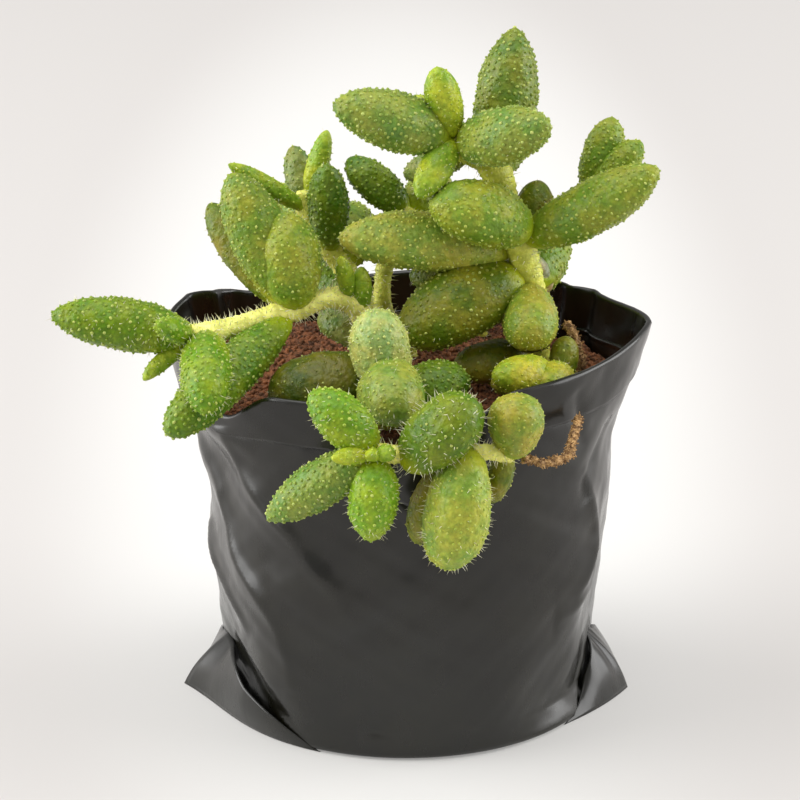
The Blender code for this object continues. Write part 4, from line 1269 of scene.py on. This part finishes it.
def scatter_tree(shape, cover, size):
    """A Geometry Nodes tree that scatters a shape over a mesh where its cover attribute is above 0,
    in the size that its size attribute gives. Each is built once."""
    name = "_".join(("scatter", shape, cover, size))
    if name in bpy.data.node_groups:
        return bpy.data.node_groups[name]
    tree = bpy.data.node_groups.new(name, "GeometryNodeTree")
    tree.interface.new_socket("Geometry", in_out="INPUT", socket_type="NodeSocketGeometry")
    tree.interface.new_socket("Geometry", in_out="OUTPUT", socket_type="NodeSocketGeometry")
    for label, kind, default in SCATTER_INPUTS:
        socket = tree.interface.new_socket(label, in_out="INPUT", socket_type=kind)
        if default is not None:
            socket.default_value = default
    given = tree.nodes.new("NodeGroupInput")
    result = tree.nodes.new("NodeGroupOutput")
    where = add_node(tree, "GeometryNodeInputNamedAttribute", {"data_type": "FLOAT"}, {"Name": cover})
    scale = add_node(tree, "GeometryNodeInputNamedAttribute", {"data_type": "FLOAT"}, {"Name": size})
    area = add_math(tree, "MULTIPLY", given.outputs["Spacing"], given.outputs["Spacing"])
    spots = add_node(tree, "GeometryNodeDistributePointsOnFaces", {"distribute_method": "POISSON"}, links={
        "Mesh": given.outputs["Geometry"],
        "Distance Min": given.outputs["Spacing"],
        "Density Max": add_math(tree, "DIVIDE", OFFERED_POINTS, area),
        "Density Factor": output(where, "Attribute"),
        "Seed": given.outputs["Seed"],
    })
    tone_seed = add_math(tree, "ADD", given.outputs["Seed"], TONE_SEED_STEP)
    tone = add_node(tree, "FunctionNodeRandomValue", {"data_type": "FLOAT"}, links={"Seed": tone_seed})
    toned = add_node(tree, "GeometryNodeStoreNamedAttribute", {"data_type": "FLOAT", "domain": "POINT"}, {
        "Name": "tone"}, {"Geometry": spots.outputs["Points"], "Value": output(tone, "Value")})
    tilt_limit = add_node(tree, "ShaderNodeCombineXYZ", values={"Z": math.pi}, links={
        "X": given.outputs["Lean"], "Y": given.outputs["Lean"]})
    tilt_floor = add_node(tree, "ShaderNodeVectorMath", {"operation": "SCALE"}, {"Scale": -1.0}, {
        0: tilt_limit.outputs[0]})
    tilt = add_node(tree, "FunctionNodeRandomValue", {"data_type": "FLOAT_VECTOR"}, links={
        "Min": tilt_floor.outputs[0], "Max": tilt_limit.outputs[0], "Seed": given.outputs["Seed"]})
    turn = add_node(tree, "FunctionNodeEulerToRotation", links={0: output(tilt, "Value")})
    aimed = add_node(tree, "FunctionNodeRotateRotation", {"rotation_space": "LOCAL"}, links={
        "Rotation": spots.outputs["Rotation"], "Rotate By": turn.outputs[0]})
    size_seed = add_math(tree, "ADD", given.outputs["Seed"], SIZE_SEED_STEP)
    drawn = add_node(tree, "FunctionNodeRandomValue", {"data_type": "FLOAT_VECTOR"}, links={
        "Min": given.outputs["Smallest"], "Max": given.outputs["Largest"], "Seed": size_seed})
    scaled = add_node(tree, "ShaderNodeVectorMath", {"operation": "SCALE"}, links={
        0: output(drawn, "Value"), "Scale": output(scale, "Attribute")})
    kind, settings, values = SHAPES[shape]
    pattern = add_node(tree, kind, settings, values)
    copies = add_node(tree, "GeometryNodeInstanceOnPoints", links={
        "Points": toned.outputs[0], "Instance": pattern.outputs["Mesh"],
        "Rotation": aimed.outputs[0], "Scale": scaled.outputs[0]})
    real = add_node(tree, "GeometryNodeRealizeInstances", links={"Geometry": copies.outputs[0]})
    smooth = add_node(tree, "GeometryNodeSetShadeSmooth", values={"Shade Smooth": shape == "dome"}, links={
        "Geometry": real.outputs[0]})
    dressed = add_node(tree, "GeometryNodeSetMaterial", links={
        "Geometry": smooth.outputs[0], "Material": given.outputs["Material"]})
    tree.links.new(dressed.outputs[0], result.inputs["Geometry"])
    return tree


def scatter(name, source, shape, cover, size, **inputs):
    """An object of shapes scattered over the source, as a plain mesh."""
    item = bpy.data.objects.new(name, source.data)
    bpy.context.scene.collection.objects.link(item)
    modifier = item.modifiers.new("scatter", "NODES")
    modifier.node_group = scatter_tree(shape, cover, size)
    for socket in modifier.node_group.interface.items_tree:
        if socket.in_out == "INPUT" and socket.name in inputs:
            modifier[socket.identifier] = inputs[socket.name]
    return baked_object(item)


def place_piece(piece, slot, *nodes):
    """Let the piece move with the plant and stand for the nodes, which it hides. The slot is not used."""
    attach(piece, BODY)
    if nodes:
        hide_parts(*nodes)


# Settings

class FilmBagSettings(bpy.types.PropertyGroup):
    """The film bag's colour and hem."""

    colour: bpy.props.FloatVectorProperty(
        name="Film colour", description="Colour of the film", subtype="COLOR", size=3, min=0.0, max=1.0,
        default=(0.004, 0.0037, 0.0012))
    roughness: bpy.props.FloatProperty(
        name="Film roughness", description="How matt the film is", subtype="FACTOR",
        min=0.1, max=0.9, default=0.30)
    hem_depth: bpy.props.FloatProperty(
        name="Hem depth", description="How far the rim's hem hangs down outside", unit="LENGTH",
        min=0.002, max=0.02, default=0.009)


class SoilSettings(bpy.types.PropertyGroup):
    """The soil's colour and crumbs."""

    colour: bpy.props.FloatVectorProperty(
        name="Soil colour", description="Colour of the soil", subtype="COLOR", size=3, min=0.0, max=1.0,
        default=(0.26, 0.105, 0.045))
    crumb_spacing: bpy.props.FloatProperty(
        name="Crumb spacing", description="Least distance between crumbs", unit="LENGTH",
        min=0.0004, max=0.01, default=0.001)
    crumb_size: bpy.props.FloatProperty(
        name="Crumb size", description="Radius of the largest crumbs", unit="LENGTH",
        min=0.0002, max=0.004, default=0.0009)


class ShootSettings(bpy.types.PropertyGroup):
    """The papillae and bristles of the leafy shoots."""

    papilla_spacing: bpy.props.FloatProperty(
        name="Papilla spacing", description="Least distance between papillae", unit="LENGTH",
        min=0.0005, max=0.01, default=0.00108)
    papilla_radius: bpy.props.FloatProperty(
        name="Papilla radius", description="Radius of the largest papillae", unit="LENGTH",
        min=0.0001, max=0.002, default=0.00052)
    bristle_spacing: bpy.props.FloatProperty(
        name="Bristle spacing", description="Least distance between bristles", unit="LENGTH",
        min=0.0005, max=0.01, default=0.0008)
    bristle_length: bpy.props.FloatProperty(
        name="Bristle length", description="Length of the longest bristles", unit="LENGTH",
        min=0.0003, max=0.005, default=0.0021)
    bristle_radius: bpy.props.FloatProperty(
        name="Bristle radius", description="Radius of a bristle's root", unit="LENGTH",
        min=0.00003, max=0.0005, default=0.0001)
    seed: bpy.props.IntProperty(
        name="Seed", description="Seed of the scattered papillae and bristles", min=0, default=11)


class DryStemSettings(bpy.types.PropertyGroup):
    """The fibres of the dry stems."""

    fibre_spacing: bpy.props.FloatProperty(
        name="Fibre spacing", description="Least distance between fibres", unit="LENGTH",
        min=0.0002, max=0.005, default=0.0004)
    fibre_length: bpy.props.FloatProperty(
        name="Fibre length", description="Length of the longest fibres", unit="LENGTH",
        min=0.0005, max=0.005, default=0.0016)


class StageSettings(bpy.types.PropertyGroup):
    """The floor and the light."""

    floor_colour: bpy.props.FloatVectorProperty(
        name="Floor colour", description="Colour of the floor", subtype="COLOR", size=3, min=0.0, max=1.0,
        default=(0.515, 0.509, 0.495))
    sky_strength: bpy.props.FloatProperty(
        name="Sky strength", description="Strength of the even light from all sides",
        min=0.0, max=5.0, default=0.44)
    key_power: bpy.props.FloatProperty(
        name="Key power", description="Power of the large soft light", unit="POWER",
        min=0.0, max=100.0, default=14.0)


# Operators

class PICKLE_OT_film_bag(bpy.types.Operator):
    """Make the creased film bag with its hem and its two pinched ears"""

    bl_idname = "pickle_plant.film_bag"
    bl_label = "Film bag"

    def execute(self, context):
        settings = context.scene.film_bag
        film = shared_material("black_film", film_material, tuple(settings.colour), settings.roughness)
        parts = [bag_wall(film, settings.hem_depth / MM)]
        for side, ear in EARS.items():
            parts.append(ear_sheet(side + "_ear", ear, film))
        place_piece(joined_object("film_bag", parts), "film", "nursery_bag")
        return {"FINISHED"}


class PICKLE_OT_soil(bpy.types.Operator):
    """Make the mound of soil and scatter its crumbs"""

    bl_idname = "pickle_plant.soil"
    bl_label = "Soil"

    def execute(self, context):
        settings = context.scene.soil
        colour = tuple(settings.colour)
        mound = soil_plug(shared_material("soil_mix", soil_material, "soil_mix", colour, SOIL_PATCHES))
        crumb_skin = shared_material("soil_crumb", soil_material, "soil_crumb", colour, CRUMB_PATCHES)
        size = settings.crumb_size
        crumbs = scatter(
            "soil_crumbs", mound, "dome", "cover", "cover", Spacing=settings.crumb_spacing,
            Smallest=tuple(size * share for share in SMALLEST_CRUMB),
            Largest=tuple(size * share for share in LARGEST_CRUMB),
            Lean=CRUMB_LEAN, Seed=CRUMB_SEED, Material=crumb_skin)
        place_piece(mound, "soil", "potting_soil")
        place_piece(crumbs, "soil")
        return {"FINISHED"}


class PICKLE_OT_shoots(bpy.types.Operator):
    """Make the leafy shoots with their papillae and bristles"""

    bl_idname = "pickle_plant.shoots"
    bl_label = "Leafy shoots"

    def execute(self, context):
        settings = context.scene.shoots
        leaf_skin = shared_material("leaf_skin", leaf_material)
        stem_skin = shared_material("stem_skin", stem_material)
        papilla_skin = shared_material("papilla_skin", papilla_material)
        hair = shared_material("bristle_hair", bristle_material)
        radius = settings.papilla_radius
        root = settings.bristle_radius
        length = settings.bristle_length
        for index, (name, (shoot, slot)) in enumerate(SHOOTS.items()):
            flesh = shoot_flesh(name, shoot, leaf_skin, stem_skin)
            papillae = scatter(
                name + "_papillae", flesh, "dome", "papilla_cover", "papilla_size",
                Spacing=settings.papilla_spacing, Smallest=(radius * SMALLEST_PAPILLA,) * 3,
                Largest=(radius,) * 3, Lean=PAPILLA_LEAN, Seed=settings.seed + index, Material=papilla_skin)
            bristles = scatter(
                name + "_bristles", flesh, "spike", "bristle_cover", "bristle_size",
                Spacing=settings.bristle_spacing,
                Smallest=(root * THINNEST_BRISTLE, root * THINNEST_BRISTLE, length * SHORTEST_BRISTLE),
                Largest=(root * THICKEST_BRISTLE, root * THICKEST_BRISTLE, length),
                Lean=BRISTLE_LEAN, Seed=settings.seed + BRISTLE_SEED_STEP + index, Material=hair)
            place_piece(flesh, slot, name)
            place_piece(papillae, slot)
            place_piece(bristles, slot)
        return {"FINISHED"}


class PICKLE_OT_dry_stems(bpy.types.Operator):
    """Make the dry stems with their loose fibres"""

    bl_idname = "pickle_plant.dry_stems"
    bl_label = "Dry stems"

    def execute(self, context):
        settings = context.scene.dry_stems
        bark = shared_material("dry_bark", dry_material)
        length = settings.fibre_length
        for index, (name, (radius, points)) in enumerate(DRY_STEMS.items()):
            path = smooth_path(points, TWIG_STEP)
            wavers = [TWIG_WAVER * noise.noise(place * TWIG_WAVER_SCALE) for place in path]
            radii = [radius * SHRINK * (1.0 + waver) for waver in wavers]
            twig_points, faces = tube_mesh(path, radii, TWIG_SEGMENTS, TWIG_LUMPS)
            cover = np.clip((twig_points[:, 2] - SOIL_LINE) / TWIG_EMERGES, 0.0, 1.0)
            twig = mesh_object(name + "_twig", twig_points, faces, [bark], attributes={"cover": cover})
            fibres = scatter(
                name + "_fibres", twig, "fibre", "cover", "cover", Spacing=settings.fibre_spacing,
                Smallest=(FIBRE_THINNEST * MM, FIBRE_THINNEST * MM, length * SHORTEST_FIBRE),
                Largest=(FIBRE_WIDTH * MM, FIBRE_THICKNESS * MM, length),
                Lean=FIBRE_LEAN, Seed=FIBRE_SEED + index, Material=bark)
            place_piece(twig, "dry_stem", name)
            place_piece(fibres, "dry_stem")
        return {"FINISHED"}


class PICKLE_OT_stage(bpy.types.Operator):
    """Make the floor, the soft light and the camera"""

    bl_idname = "pickle_plant.stage"
    bl_label = "Stage"

    def execute(self, context):
        settings = context.scene.stage
        make_floor(tuple(settings.floor_colour))
        make_lights(settings.sky_strength, settings.key_power)
        make_camera()
        return {"FINISHED"}


def make_floor(colour):
    """A pale floor, painted darker away from the plant as painted shade, that glows a little as painted light
    to lift the shadows on it.
    """
    material, tree, shader = new_material("pale_floor")
    place = add_node(tree, "ShaderNodeTexCoord")
    shift = (0.0, -FLOOR_MIDDLE * FLOOR_SPREAD[1], 0.0)
    spread = add_node(tree, "ShaderNodeMapping", values={"Location": shift, "Scale": FLOOR_SPREAD}, links={
        "Vector": place.outputs["Object"]})
    away = add_node(tree, "ShaderNodeVectorMath", {"operation": "LENGTH"}, links={0: spread.outputs[0]})
    share = add_range(tree, away.outputs["Value"], *FLOOR_FADE, 0.0, 1.0)
    # Painted shade: the floor's colour darkens away from the plant
    shaded = tuple(value * shade for value, shade in zip(colour, FLOOR_SHADE))
    tree.links.new(add_mix(tree, share, tuple(colour), shaded), shader.inputs["Base Color"])
    shader.inputs["Roughness"].default_value = 0.9
    # Painted light: the floor glows in its own colour, which lifts the shadows on it
    shader.inputs["Emission Color"].default_value = (*colour, 1.0)
    shader.inputs["Emission Strength"].default_value = FLOOR_GLOW / max(colour)
    radius = FLOOR_RADIUS / MM
    corners = ((-radius, -radius, 0.0), (radius, -radius, 0.0), (radius, radius, 0.0), (-radius, radius, 0.0))
    floor = mesh_object("floor", corners, [(0, 1, 2, 3)], [material])


def aimed_at(item, target):
    """Turn a light or camera towards a point."""
    item.rotation_euler = (Vector(target) * MM - item.location).to_track_quat("-Z", "Y").to_euler()


def make_lights(sky_strength, key_power):
    world = bpy.data.worlds.new("studio")
    world.use_nodes = True
    sky = world.node_tree.nodes["Background"]
    sky.inputs["Color"].default_value = SKY_COLOUR
    sky.inputs["Strength"].default_value = sky_strength
    bpy.context.scene.world = world
    for name, (place, size, share) in LIGHTS.items():
        light = bpy.data.lights.new(name, "AREA")
        light.shape = "DISK"
        light.size = size
        light.energy = key_power * share
        item = bpy.data.objects.new(name, light)
        item.location = Vector(place) * MM
        bpy.context.scene.collection.objects.link(item)
        aimed_at(item, CAMERA_TARGET)


def make_camera():
    lens = bpy.data.cameras.new("camera")
    lens.lens = CAMERA_LENS
    camera = bpy.data.objects.new("camera", lens)
    elevation = math.radians(CAMERA_ELEVATION)
    away = Vector((0.0, -math.cos(elevation), math.sin(elevation))) * CAMERA_DISTANCE
    camera.location = (Vector(CAMERA_TARGET) + away) * MM
    aimed_at(camera, CAMERA_TARGET)
    bpy.context.scene.collection.objects.link(camera)
    bpy.context.scene.camera = camera


class VIEW3D_PT_pickle_plant(bpy.types.Panel):
    """Lists the settings and the steps that make the plant"""

    bl_label = "Pickle plant"
    bl_idname = "VIEW3D_PT_pickle_plant"
    bl_space_type = "VIEW_3D"
    bl_region_type = "UI"
    bl_category = "Pickle plant"

    def draw(self, context):
        for group, operator in STEPS:
            box = self.layout.box()
            settings = getattr(context.scene, group)
            for label in settings.__annotations__:
                box.prop(settings, label)
            box.operator(operator.bl_idname)


SETTINGS = {
    "film_bag": FilmBagSettings,
    "soil": SoilSettings,
    "shoots": ShootSettings,
    "dry_stems": DryStemSettings,
    "stage": StageSettings,
}
STEPS = (
    ("film_bag", PICKLE_OT_film_bag),
    ("soil", PICKLE_OT_soil),
    ("shoots", PICKLE_OT_shoots),
    ("dry_stems", PICKLE_OT_dry_stems),
    ("stage", PICKLE_OT_stage),
)


def register():
    for name, settings in SETTINGS.items():
        bpy.utils.register_class(settings)
        setattr(bpy.types.Scene, name, bpy.props.PointerProperty(type=settings))
    for group, operator in STEPS:
        bpy.utils.register_class(operator)
    bpy.utils.register_class(VIEW3D_PT_pickle_plant)


def unregister():
    bpy.utils.unregister_class(VIEW3D_PT_pickle_plant)
    for group, operator in reversed(STEPS):
        bpy.utils.unregister_class(operator)
    for name, settings in SETTINGS.items():
        delattr(bpy.types.Scene, name)
        bpy.utils.unregister_class(settings)


def main():
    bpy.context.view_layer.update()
    register()
    bpy.context.scene.view_settings.view_transform = "Standard"
    bpy.ops.pickle_plant.film_bag()
    bpy.ops.pickle_plant.soil()
    bpy.ops.pickle_plant.shoots()
    bpy.ops.pickle_plant.dry_stems()
    bpy.ops.pickle_plant.stage()


if __name__ == "__main__":
    main()
